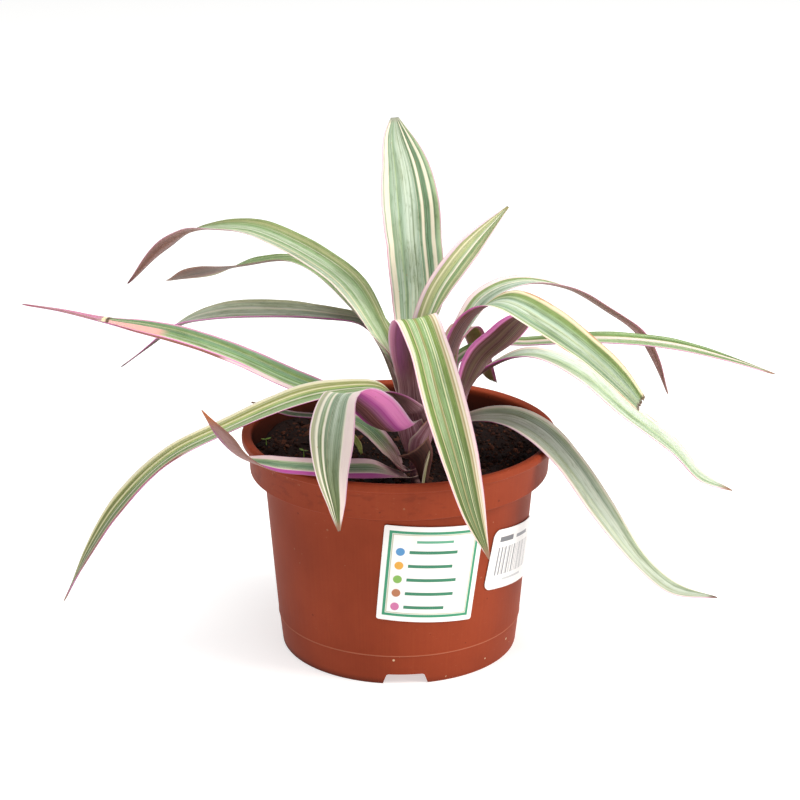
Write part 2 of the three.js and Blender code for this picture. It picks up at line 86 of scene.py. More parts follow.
# %% Wires
class Wire:
    """An output socket that can stand in a sum."""

    def __init__(self, tree, socket):
        self.tree = tree
        self.socket = socket

    def node(self, kind, settings=None, sockets=None, out=0):
        return add_node(self.tree, kind, settings, sockets, out)

    def outputs(self):
        """Every output of the wire's own node, as wires."""
        return [Wire(self.tree, socket) for socket in self.socket.node.outputs]

    def math(self, operation, *values):
        return self.node("ShaderNodeMath", {"operation": operation}, dict(enumerate((self, *values))))

    def __add__(self, other):
        return self.math("ADD", other)

    def __sub__(self, other):
        return self.math("SUBTRACT", other)

    def __mul__(self, other):
        return self.math("MULTIPLY", other)

    def __truediv__(self, other):
        return self.math("DIVIDE", other)

    def __pow__(self, other):
        return self.math("POWER", other)

    def __gt__(self, other):
        return self.math("GREATER_THAN", other)

    def __lt__(self, other):
        return self.math("LESS_THAN", other)

    def __rsub__(self, other):
        return (self * -1).math("ADD", other)

    __radd__ = __add__
    __rmul__ = __mul__

    def ramp(self, low, high, start=0.0, end=1.0):
        """Goes smoothly from start to end while the wire goes from low to high."""
        sockets = {"Value": self, "From Min": low, "From Max": high, "To Min": start, "To Max": end}
        return self.node("ShaderNodeMapRange", {"interpolation_type": "SMOOTHSTEP"}, sockets)

    def between(self, low, high, soft=0.002):
        """1 from low to high and 0 outside, with soft edges."""
        return self.ramp(low - soft, low + soft) * self.ramp(high - soft, high + soft, 1.0, 0.0)


def add_node(tree, kind, settings=None, sockets=None, out=0):
    node = tree.nodes.new(kind)
    for name, value in (settings or {}).items():
        if name == "stops":
            set_stops(node.color_ramp, value)
        else:
            setattr(node, name, value)
    for key, value in (sockets or {}).items():
        target = node.inputs[key]
        if isinstance(value, Wire):
            tree.links.new(value.socket, target)
        else:
            target.default_value = value
    return Wire(tree, node.outputs[out])


# %% Colours
def paint(code):
    """A colour of the photograph, written as six hex digits, in Blender's linear light."""
    parts = [int(code[i : i + 2], 16) / 255 for i in (0, 2, 4)]
    linear = [p / 12.92 if p <= 0.04045 else ((p + 0.055) / 1.055) ** 2.4 for p in parts]
    return (*linear, 1.0)


def set_stops(ramp, stops):
    """Stops are (place, hex colour) pairs, with places from 0 to 1."""
    while len(ramp.elements) > 1:
        ramp.elements.remove(ramp.elements[-1])
    for k, (place, code) in enumerate(stops):
        stop = ramp.elements[0] if k == 0 else ramp.elements.new(place)
        stop.position = place
        stop.color = paint(code)


def ramp_colour(wire, stops):
    return wire.node("ShaderNodeValToRGB", {"stops": stops}, {0: wire})


def blend(factor, below, above, kind="MIX"):
    """Colour below where the factor is 0 and colour above where it is 1."""
    settings = {"data_type": "RGBA", "blend_type": kind, "clamp_factor": True}
    tree = next(w.tree for w in (factor, below, above) if isinstance(w, Wire))
    return add_node(tree, "ShaderNodeMix", settings, {0: factor, 6: below, 7: above}, out=2)


def coats(skin, *layers):
    """Coats laid over a skin, in order, each one as (factor, hex colour) or (factor, hex colour, kind)."""
    for factor, code, *kind in layers:
        skin = blend(factor, skin, paint(code), *kind)
    return skin


# %% Finishes
def new_finish(name):
    """An empty material with its shader, and the tree to write in."""
    finish = bpy.data.materials.new(name)
    finish.use_nodes = True
    tree = finish.node_tree
    return finish, tree, tree.nodes["Principled BSDF"]


def feed(shader, sockets):
    """Links wires to the shader's sockets, and sets plain values on them."""
    for name, value in sockets.items():
        if isinstance(value, Wire):
            shader.id_data.links.new(value.socket, shader.inputs[name])
        else:
            shader.inputs[name].default_value = value


def relief(shader, height, strength, distance):
    sockets = {"Height": height, "Strength": strength, "Distance": distance}
    feed(shader, {"Normal": height.node("ShaderNodeBump", None, sockets, "Normal")})


def attribute(tree, name):
    return add_node(tree, "ShaderNodeAttribute", {"attribute_name": name}, out="Fac")


def object_place(tree):
    return add_node(tree, "ShaderNodeTexCoord", out="Object")


def vector(x, y, z):
    return x.node("ShaderNodeCombineXYZ", None, {0: x, 1: y, 2: z})


def cloud(place, scale, detail=3.0, rough=0.55):
    sockets = {"Vector": place, "Scale": scale, "Detail": detail, "Roughness": rough}
    return place.node("ShaderNodeTexNoise", None, sockets, "Fac")


def streaks(x, y, z, detail=3.0, rough=0.55):
    """A noise over three numbers that are already squeezed and stretched."""
    return cloud(vector(x, y, z), 1.0, detail, rough)


def cells(place, scale):
    """The distance to the nearest of many scattered points."""
    return place.node("ShaderNodeTexVoronoi", None, {"Vector": place, "Scale": scale}, "Distance")


# %% [markdown]
# ## Putting a piece in place
# A finished piece is one plain mesh at the origin. It rides on the plant's only body and hides the
# solid that it stands for. Its mesh is either built by hand, mostly as a skin over loops of points,
# or baked from a geometry tree.

# %% Pieces
def show(mesh, name):
    piece = bpy.data.objects.new(name, mesh)
    bpy.context.scene.collection.objects.link(piece)
    return piece


def dress(piece, slot, *nodes):
    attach(piece, "root")
    if nodes:
        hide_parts(*nodes)
    print(piece.name, "has", len(piece.data.polygons), "faces")


# %% Shapes built by hand
def finished_mesh(body, name, *finishes, smooth=True):
    """A mesh of what was built up in bmesh, with its faces outwards, and in its finish."""
    bmesh.ops.recalc_face_normals(body, faces=body.faces)
    for face in body.faces:
        face.smooth = smooth
    mesh = bpy.data.meshes.new(name)
    body.to_mesh(mesh)
    body.free()
    for finish in finishes:
        mesh.materials.append(finish)
    return mesh


def circle(radius, count):
    """Points spaced evenly round a circle, as (x, y)."""
    angles = [2 * math.pi * k / count for k in range(count)]
    return [(radius * math.cos(angle), radius * math.sin(angle)) for angle in angles]


def skin_loops(body, loops):
    """Faces from each loop of points to the next, and a cap on both ends."""
    for low, high in zip(loops, loops[1:]):
        for j in range(len(low)):
            k = (j + 1) % len(low)
            body.faces.new((low[j], low[k], high[k], high[j]))
    body.faces.new(loops[0])
    body.faces.new(loops[-1])


# %% Pieces from geometry trees
def face_outwards(mesh):
    shell = bmesh.new()
    shell.from_mesh(mesh)
    bmesh.ops.recalc_face_normals(shell, faces=shell.faces)
    shell.to_mesh(mesh)
    shell.free()


def bake(source, tree, inputs, name):
    """The mesh that a geometry tree makes of the source mesh, as a plain piece."""
    rig = show(source, name + "_rig")
    modifier = rig.modifiers.new("maker", "NODES")
    modifier.node_group = tree
    for item in tree.interface.items_tree:
        if item.item_type == "SOCKET" and item.in_out == "INPUT" and item.name in inputs:
            modifier[item.identifier] = inputs[item.name]
    seen = bpy.context.evaluated_depsgraph_get()
    mesh = bpy.data.meshes.new_from_object(rig.evaluated_get(seen), depsgraph=seen)
    bpy.data.objects.remove(rig)
    mesh.name = name
    face_outwards(mesh)
    return show(mesh, name)


def new_geometry_tree(name, inputs):
    """A geometry tree with named inputs. Returns the tree and its inputs as wires."""
    tree = bpy.data.node_groups.new(name, "GeometryNodeTree")
    tree.interface.new_socket("Geometry", in_out="INPUT", socket_type="NodeSocketGeometry")
    tree.interface.new_socket("Geometry", in_out="OUTPUT", socket_type="NodeSocketGeometry")
    for label, kind in inputs.items():
        tree.interface.new_socket(label, in_out="INPUT", socket_type="NodeSocket" + kind)
    entry = tree.nodes.new("NodeGroupInput")
    wires = {socket.name: Wire(tree, socket) for socket in entry.outputs if socket.name}
    return tree, wires


def close_tree(tree, geometry, material):
    """Every tree ends in real geometry with its finish on it."""
    real = geometry.node("GeometryNodeRealizeInstances", None, {0: geometry})
    done = real.node("GeometryNodeSetMaterial", None, {"Geometry": real, "Material": material})
    leave = tree.nodes.new("NodeGroupOutput")
    tree.links.new(done.socket, leave.inputs[0])


# %% [markdown]
# ## How a strap leaf grows
# Each leaf clasps its stem with a sheath and then follows a middle line through the air. The line
# is a smooth curve through a few given points, and each point also says how wide the blade is
# there, how far it is curled across, and how far it is rolled to one side. The solid model
# follows the same rule with fewer faces, so the fine blades lie in the solids' places.

# %% Sizes of stems and sheaths
GAP = 0.3
SOIL_LEVEL = 89
STEM_RADIUS = 3
BLADE_THICK = 0.7
FIRST_SHEATH = 1.5
SHEATH_SPACING = 3.45
SHEATH_SLOPE = 0.36
SHEATH_ROWS = [(0, 195, 1.0), (5, 172, 1.0), (10, 140, 1.0), (14, 90, 0.8)]

STEMS = {
    "main": {"foot": Vector((7.5, -38, SOIL_LEVEL)), "lean": Vector((-1.7, 14, 42)).normalized(), "tall": 47},
    "side": {"foot": Vector((19, -2, SOIL_LEVEL)), "lean": Vector((1, -2, 30)).normalized(), "tall": 15},
}

# %% [markdown]
# ## The middle lines
# The points are in millimetres, read off the photograph and set where they carry the leaf from
# its stem to its tip: x, y, z, blade width, curl across in degrees, roll in degrees. Each shoot's
# leaves are listed from the oldest, which clasps the stem lowest, to the youngest. The two oldest
# keep only the lowest ring of their sheaths.

# %% Leaves of the main shoot
MAIN_LEAVES = {
    "leaf_on_rim": [
        (2, -46, 93.7, 11, 90, 0), (-9.5, -53, 99, 16, 50, 12), (-24, -58, 101, 17, 40, 8),
        (-40, -61, 103, 17, 40, 6), (-54, -63, 105.5, 15, 45, 4), (-66, -64, 110, 12.5, 50, -26),
        (-73.5, -64, 118.5, 11.5, 40, -42), (-81.7, -64, 130.8, 1.2, 20, -36)],
    "leaf_over_soil": [
        (1, -43, 96.5, 9, 90, 0), (-4.7, -40, 103.3, 12, 60, 0), (-13.3, -35, 111.3, 13, 50, 0),
        (-21.5, -29, 114, 11, 50, 0), (-34, -19, 111.5, 8, 50, 0), (-48, -8, 109, 6, 40, 0),
        (-66, 6, 110, 1.2, 20, 0)],
    "leaf_right_arch": [
        (21, -37, 128, 11, 80, 0), (23, -37, 147, 14, 60, 0), (31.6, -43, 165.5, 20, 40, 0),
        (43, -51, 173.2, 24, 30, -2), (59.3, -60, 167.2, 26, 30, -6), (77, -66, 155.6, 25, 30, -5),
        (89.6, -69, 144.6, 22, 30, -8), (98.8, -71, 134.8, 16, 30, -4)],
    "leaf_front_left": [
        (-2.5, -54, 118, 20, 60, -15), (-13.5, -63, 132.3, 25, 40, -25), (-21.8, -70, 139.5, 24.5, 20, -15),
        (-26, -74, 127.6, 22.5, 30, 0), (-27.6, -78, 110, 14.6, 40, 0), (-26, -81, 95, 8.2, 40, 0),
        (-24.7, -83, 84.5, 1.2, 20, 0)],
    "leaf_low_left": [
        (4, -42, 122.5, 13, 80, -26), (-1.5, -45, 130, 11, 60, -18), (-9, -46, 133.5, 14, 50, 0),
        (-22.7, -46, 133, 18, 45, 2), (-42, -46, 128.8, 22.5, 40, 4), (-73, -47, 115.5, 22, 40, 0),
        (-97.7, -48, 102.6, 22.5, 35, 3), (-118.5, -48, 81.5, 24, 35, 8), (-133.2, -48, 60, 15, 30, 10),
        (-145.6, -48, 36.9, 1.2, 20, 0)],
    "leaf_hanging_back": [
        (22, -11.5, 130.5, 7, 60, 0), (23, -4, 140, 9, 50, 0), (27.5, 6, 144, 11, 40, 0),
        (31.3, 16, 141, 12, 30, 0), (35.3, 24, 129.5, 12.5, 20, 0), (40.5, 26.5, 113.8, 14, 20, 0)],
    "leaf_long_left": [
        (-27, -17, 119.5, 17, 60, 4), (-45.5, -15, 124.5, 20.5, 50, 6), (-72.7, -10, 135.7, 19, 45, 6),
        (-96, -5, 142.5, 17.5, 45, 6), (-113.5, 0, 145.3, 15, 45, 4), (-129.5, 4, 148, 7.5, 45, 0),
        (-149, 9, 151.4, 3.6, 30, 0), (-167, 14, 153, 1.2, 20, 0)],
    "leaf_front": [
        (5, -44, 142, 16, 60, 0), (5, -49, 157.5, 19, 30, 0), (6.7, -54, 167, 20, 20, 0),
        (11.5, -60, 156.5, 20.5, 25, 0), (17.4, -68, 136, 22.5, 35, 0), (24.2, -76, 113, 19.5, 40, 0),
        (30, -84, 92.7, 13.2, 40, 0), (37, -90, 75, 1.2, 20, 0)],
    "leaf_mid_left": [
        (-6, 1, 140, 14, 70, 0), (-15.5, 7, 146, 12, 55, 0), (-33, 16, 146, 18.5, 50, 0),
        (-58, 30, 143, 23, 50, 4), (-84, 44, 137.8, 24, 45, 6), (-101, 54, 131, 16, 35, 4),
        (-117, 62, 118, 4, 30, 0), (-132, 70, 105, 1.2, 20, 0)],
    "leaf_right_behind": [
        (26, -20, 150, 11, 70, 0), (37.2, -6, 161.7, 13.5, 50, 0), (53.2, 6, 165, 15.5, 45, 0),
        (74, 18, 159.2, 12, 40, 4), (94.4, 28, 145.4, 7.5, 35, 18), (109.4, 34, 132.8, 7.5, 35, 18),
        (117.7, 38, 118, 6, 30, 16), (124, 40, 101.7, 1.2, 20, 0)],
    "leaf_back_left": [
        (-16, 10, 151, 13, 60, 0), (-45, 45, 163.7, 11, 40, 0), (-71, 64, 157, 20, 35, 0),
        (-94, 78, 148, 20, 30, -22), (-111, 90, 142, 1.2, 20, -10)],
    "leaf_upper_left": [
        (-9, -19, 149.5, 13, 90, 0), (-25.9, 3, 167.3, 20, 45, 0), (-61.2, 26, 181.6, 22.3, 35, 0),
        (-79, 38, 181.2, 22, 30, 0), (-95, 48, 177, 14, 30, -8), (-110, 56, 166, 9, 30, -25),
        (-126, 64, 148, 1.2, 20, -20)],
    "leaf_small_upright": [
        (11, -30, 155, 14, 95, -8), (16.5, -25, 169, 12.7, 78, -22), (23.8, -20, 179.3, 12.5, 66, -30),
        (32.2, -13, 188.3, 10.3, 60, -30), (47, 0, 201, 1.2, 30, -20)],
    "leaf_tall_upright": [
        (7, -7, 152, 20, 90, 0), (7.1, -4, 164, 25.5, 60, 0), (5, -1, 186, 28, 45, 0),
        (3.8, 2, 202, 27.5, 40, 0), (1.8, 7, 216, 24, 40, 0), (-0.9, 11, 228, 15.5, 35, 0),
        (-2, 14, 237, 3.6, 20, 0)],
}

# %% Leaves of the side shoot
SIDE_LEAVES = {
    "leaf_right_front": [
        (45.6, -10, 107.3, 20, 60, -5), (59, -19, 104.2, 23, 44, -1), (71.4, -26, 94, 22.8, 38, 0),
        (87.2, -34, 73.2, 23, 35, 0), (104.8, -42, 52, 14, 35, 0), (118.6, -48, 42.3, 12.5, 35, 0),
        (137.1, -54, 41.6, 1.2, 20, 0)],
    "leaf_right_low": [
        (33, 2, 121, 10, 70, 0), (42, -4, 130.5, 12, 60, 0), (52.4, -8, 136, 15.5, 50, 0),
        (62.8, -14, 137.4, 14.5, 40, 0), (78.3, -22, 131.7, 19, 40, 0), (97, -28, 117, 22, 35, -1),
        (117.8, -32, 101.4, 20, 35, 0), (130, -34, 89, 14, 30, 0), (144, -36, 84, 1.2, 20, 0)],
    "leaf_far_right": [
        (26, 9, 128, 11, 70, 0), (41, 11, 135, 13, 50, 0), (58, 12, 135.2, 12.5, 50, 0),
        (89, 15, 135.7, 17, 40, 0), (121, 15, 133, 17, 35, 0), (147, 11, 128, 8.5, 30, 0),
        (167, 6, 123, 1.2, 20, 0)],
    "leaf_seen_below": [
        (28, -18, 122, 11, 80, 8), (36, -20, 138, 20, 60, 25), (45.3, -26, 149.6, 18, 55, 30),
        (52, -32, 159.5, 16, 50, 20), (58, -36, 168, 1.2, 30, 0)],
}
WORN_SHEATHS = 2
LEAVES = {}
for stem_name, lines in (("main", MAIN_LEAVES), ("side", SIDE_LEAVES)):
    for rank, (leaf_name, line) in enumerate(lines.items()):
        rings = 1 if stem_name == "main" and rank < WORN_SHEATHS else len(SHEATH_ROWS)
        LEAVES[leaf_name] = {"stem": stem_name, "rank": rank, "rings": rings, "line": line}
print(len(LEAVES), "leaves")

# %% [markdown]
# ## From points to a smooth spine
# A Catmull-Rom curve passes through every point and leaves each one in the direction of its
# neighbours. The centripetal kind is used for the middle line, because it doesn't loop or overshoot
# where points are close together, as they are in the sheath. Width, curl and roll
# follow the plain kind.

# %% Smooth curves
def ends_added(values):
    return [2 * values[0] - values[1], *values, 2 * values[-1] - values[-2]]


def smooth(values, span, share, centripetal):
    """The value a share of the way along one span, and its rate of change."""
    a, b, c, d = ends_added(values)[span : span + 4]
    if centripetal:
        ab, bc, cd = (max((q - p).length, 1e-4) ** 0.5 for p, q in ((a, b), (b, c), (c, d)))
        leave = ((b - a) / ab - (c - a) / (ab + bc) + (c - b) / bc) * bc
        arrive = ((c - b) / bc - (d - b) / (bc + cd) + (d - c) / cd) * bc
    else:
        leave = (c - a) / 2
        arrive = (d - b) / 2
    square = (c - b) * 3 - leave * 2 - arrive
    cube = (b - c) * 2 + leave + arrive
    place = b + leave * share + square * share**2 + cube * share**3
    return place, leave + square * 2 * share + cube * 3 * share**2


# %% Rows of a leaf
def stem_point(stem, height):
    return stem["foot"] + stem["lean"] * height


def free_rows(line):
    rows = []
    for x, y, z, width, curl, roll in line:
        rows.append({"point": Vector((x, y, z)), "form": Vector((width, curl, roll)), "clasp": 0.0})
    return rows


def leaf_rows(leaf):
    """The sheath's rows, as rings round the stem, and then the rows of the free blade."""
    stem = STEMS[leaf["stem"]]
    height = FIRST_SHEATH + leaf["rank"] * SHEATH_SPACING
    out = Vector(leaf["line"][0][:3]) - stem_point(stem, height)
    out = (out - stem["lean"] * out.dot(stem["lean"])).normalized()
    rows = []
    for rise, wrap, clasp in SHEATH_ROWS[: leaf["rings"]]:
        reach = STEM_RADIUS + GAP + BLADE_THICK / 2 + rise * SHEATH_SLOPE
        form = Vector((math.radians(wrap) * reach, wrap, 0))
        rows.append({"point": stem_point(stem, height + rise) + out * reach, "form": form, "clasp": clasp})
    ring = {"side": out.cross(stem["lean"]), "hollow": -out}
    return rows + free_rows(leaf["line"]), ring


def headings(rows):
    """The way the blade heads over the ground at each row."""
    ways = []
    for k in range(len(rows)):
        before = rows[max(k - 1, 0)]["point"]
        after = rows[min(k + 1, len(rows) - 1)]["point"]
        way = after - before
        way.z = 0
        ways.append(way.normalized())
    return ways


# %% Stations along a spine
STATION_STEP = 1.6
LEAST_WIDTH, LEAST_CURL = 0.6, 8


def stations(rows, ring):
    """Closely spaced cross-sections: where each one is, which way it faces and how wide it is."""
    points = [row["point"] for row in rows]
    forms = [row["form"] for row in rows]
    ways = headings(rows)
    places = []
    for span in range(len(rows) - 1):
        steps = max(2, round((points[span + 1] - points[span]).length / STATION_STEP))
        places += [(span, step / steps) for step in range(steps)]
    places.append((len(rows) - 2, 1.0))
    found = []
    for span, share in places:
        point, tangent = smooth(points, span, share, True)
        form, _ = smooth(forms, span, share, False)
        clasp = rows[span]["clasp"] * (1 - share) + rows[span + 1]["clasp"] * share
        tangent.normalize()
        side = ways[span].lerp(ways[span + 1], share).cross(UP)
        side = (side - tangent * side.dot(tangent)).normalized()
        hollow = side.cross(tangent)
        turn = Matrix.Rotation(math.radians(form.z), 3, -tangent)
        side = (turn @ side).lerp(ring["side"], clasp).normalized()
        hollow = (turn @ hollow).lerp(ring["hollow"], clasp).normalized()
        found.append({"point": point, "tangent": tangent, "side": side, "hollow": hollow,
                      "width": max(form.x, LEAST_WIDTH), "curl": math.radians(max(form.y, LEAST_CURL))})
    return found


test_rows, test_ring = leaf_rows(LEAVES["leaf_tall_upright"])
print("the tall leaf has", len(stations(test_rows, test_ring)), "stations")

# %% [markdown]
# ## The spine as a mesh
# Geometry nodes read numbers from attributes, so the spine becomes a chain of vertices that each
# carry their facing, width and curl. Thickness fades out at both ends, which closes the blade
# to a fine edge there, and the run along the leaf is kept for the stripes.

# %% Spine
FOOT_FADE, TIP_FADE = 1.5 * MM, 2.5 * MM
TEAR_LENGTH = 4 * MM
FOLD_FROM, FOLD_GROWTH = 0.12, 6


def spine_mesh(name, found, ragged, fold):
    mesh = bpy.data.meshes.new(name + "_spine")
    points = [station["point"] * MM for station in found]
    mesh.from_pydata(points, [(k, k + 1) for k in range(len(points) - 1)], [])
    run = [0.0]
    for a, b in zip(points, points[1:]):
        run.append(run[-1] + (b - a).length)
    whole = run[-1]
    ends = [min(1.0, at / FOOT_FADE, (whole - at) / TIP_FADE) for at in run]
    for label in ("side", "hollow", "tangent"):
        layer = mesh.attributes.new(label, "FLOAT_VECTOR", "POINT")
        for k, station in enumerate(found):
            layer.data[k].vector = station[label]
    numbers = {
        "width": [station["width"] * MM for station in found],
        "curl": [station["curl"] for station in found],
        "run": run,
        "share": [at / whole for at in run],
        "thick": [math.sqrt(max(end, 0.0)) for end in ends],
        "ragged": [ragged * MM * max(0.0, 1 - (whole - at) / TEAR_LENGTH) for at in run],
        "fold": [fold * min(1.0, max(0.0, at / whole - FOLD_FROM) * FOLD_GROWTH) for at in run],
    }
    for label, values in numbers.items():
        layer = mesh.attributes.new(label, "FLOAT", "POINT")
        for k, value in enumerate(values):
            layer.data[k].value = value
    return mesh


# %% [markdown]
# ## The tree that unrolls a blade
# A flat grid has one column for each step round the blade's edge and one row for each station of
# the spine. Every grid point looks its station up by its row, and is moved to its place on the
# section: across by the cosine and through the thickness by the sine, which makes both
# faces and two fine margins in one closed loop. A slow ripple keeps the margins from
# being dead straight.

# %% Blade tree
WELD_DISTANCE = 0.004 * MM


def make_blade_tree():
    tree, inlet = new_geometry_tree("strap_blade", {
        "Around": "Int", "Thickness": "Float", "Ripple": "Float", "Seed": "Float", "Finish": "Material"})
    spine = inlet["Geometry"]
    rows = spine.node("GeometryNodeAttributeDomainSize", {"component": "MESH"}, {0: spine}, "Point Count")
    grid = spine.node("GeometryNodeMeshGrid", None, {
        "Vertices X": inlet["Around"] + 1, "Vertices Y": rows})
    index = add_node(tree, "GeometryNodeInputIndex")
    row = index.math("MODULO", rows)
    column = (index / rows).math("FLOOR")

    def at_station(field, kind):
        settings = {"data_type": kind, "domain": "POINT"}
        sockets = {"Geometry": spine, "Value": field, "Index": row}
        return field.node("GeometryNodeSampleIndex", settings, sockets)

    def kept(name, kind="FLOAT"):
        """What the spine keeps under a name, looked up at the row's station."""
        field = add_node(tree, "GeometryNodeInputNamedAttribute", {"data_type": kind}, {"Name": name})
        return at_station(field, kind)

    def step(way, length):
        return way.node("ShaderNodeVectorMath", {"operation": "SCALE"}, {"Vector": way, "Scale": length})

    middle = at_station(add_node(tree, "GeometryNodeInputPosition"), "FLOAT_VECTOR")
    side, hollow, tangent = (kept(name, "FLOAT_VECTOR") for name in ("side", "hollow", "tangent"))
    names = ("width", "curl", "run", "share", "thick", "ragged", "fold")
    width, curl, run, share, thick, ragged, fold = map(kept, names)

    turn = column / inlet["Around"] * (2 * math.pi)
    across = turn.math("COSINE")
    face = turn.math("SINE")
    bend = curl * across * 0.5
    radius = width / curl
    lift = radius * (1 - bend.math("COSINE")) + fold * width * across.math("ABSOLUTE")
    wave = streaks(run * 45, across.math("SIGN") * 3, inlet["Seed"], detail=1.0) - 0.5
    lift = lift + wave * inlet["Ripple"] * across.math("ABSOLUTE") ** 3 * thick
    depth = face * thick * inlet["Thickness"] * 0.5
    tear = streaks(across * 6, inlet["Seed"], 0.0, detail=2.0) - 0.5
    moves = (
        step(side, radius * bend.math("SINE") - depth * bend.math("SINE")),
        step(hollow, lift + depth * bend.math("COSINE")),
        step(tangent, tear * ragged * 2),
    )
    place = middle
    for move in moves:
        place = place.node("ShaderNodeVectorMath", {"operation": "ADD"}, {0: place, 1: move})
    blade = grid.node("GeometryNodeSetPosition", None, {"Geometry": grid, "Position": place})
    for name, value in {"across": across, "face": face, "run": run, "share": share}.items():
        settings = {"data_type": "FLOAT", "domain": "POINT"}
        blade = blade.node("GeometryNodeStoreNamedAttribute", settings, {
            "Geometry": blade, "Name": name, "Value": value})
    blade = blade.node("GeometryNodeMergeByDistance", None, {"Geometry": blade, "Distance": WELD_DISTANCE})
    blade = blade.node("GeometryNodeSetShadeSmooth", None, {"Geometry": blade})
    close_tree(tree, blade, inlet["Finish"])
    return tree


blade_tree = make_blade_tree()
print("the blade tree has", len(blade_tree.nodes), "nodes")

# %% [markdown]
# ## The colours of a leaf
# Above, the blade is green with long cream and pink stripes that run from sheath to tip. Every
# leaf has its own stripes, so each one is given as a list across the blade, from its one margin
# (-1) to the other (1). Below, most leaves are purple-brown with magenta margins. The stripe
# pattern wanders a little with a noise that is stretched along the leaf.

# %% The plant's paints
PAINTS = {
    "mint": "a5b9a6", "pale_mint": "bccbba", "sage": "84a083", "deep_sage": "688b69", "leaf": "82a169",
    "moss": "71893f", "lime": "a3ad62", "olive": "8f9355", "dull_olive": "8b8a6c", "pale_leaf": "a6ba94",
    "cream": "d9d1bd", "ivory": "d7d0aa", "blush": "dec6c6", "lilac": "d0abc2", "rose": "c987a6",
    "magenta": "a8458f", "bright_magenta": "cf68b2", "maroon": "623632", "dark_maroon": "4a2624",
    "brown_olive": "5a4630", "brown_pink": "96706a", "tan": "b7a988", "tan_olive": "8d8150",
    "dull_magenta": "8e4a78", "hot_pink": "da80b8", "blush_brown": "d9a49a", "rust_brown": "7d5240",
    "warm_olive": "a08a5c", "old_rose": "bb7c96",
}


def stripes(text):
    """Stripes across a blade, from its one margin (-1) to the other (1), each as a place and a paint."""
    stops = [stop.split() for stop in text.split(",")]
    return [((float(place) + 1) / 2, PAINTS[name]) for place, name in stops]


PLAIN_UNDERSIDE = stripes("""
    -1 bright_magenta, -.9 magenta, -.8 maroon, -.35 dark_maroon, 0 maroon, .4 dark_maroon, .8 maroon,
    .9 magenta, 1 bright_magenta""")

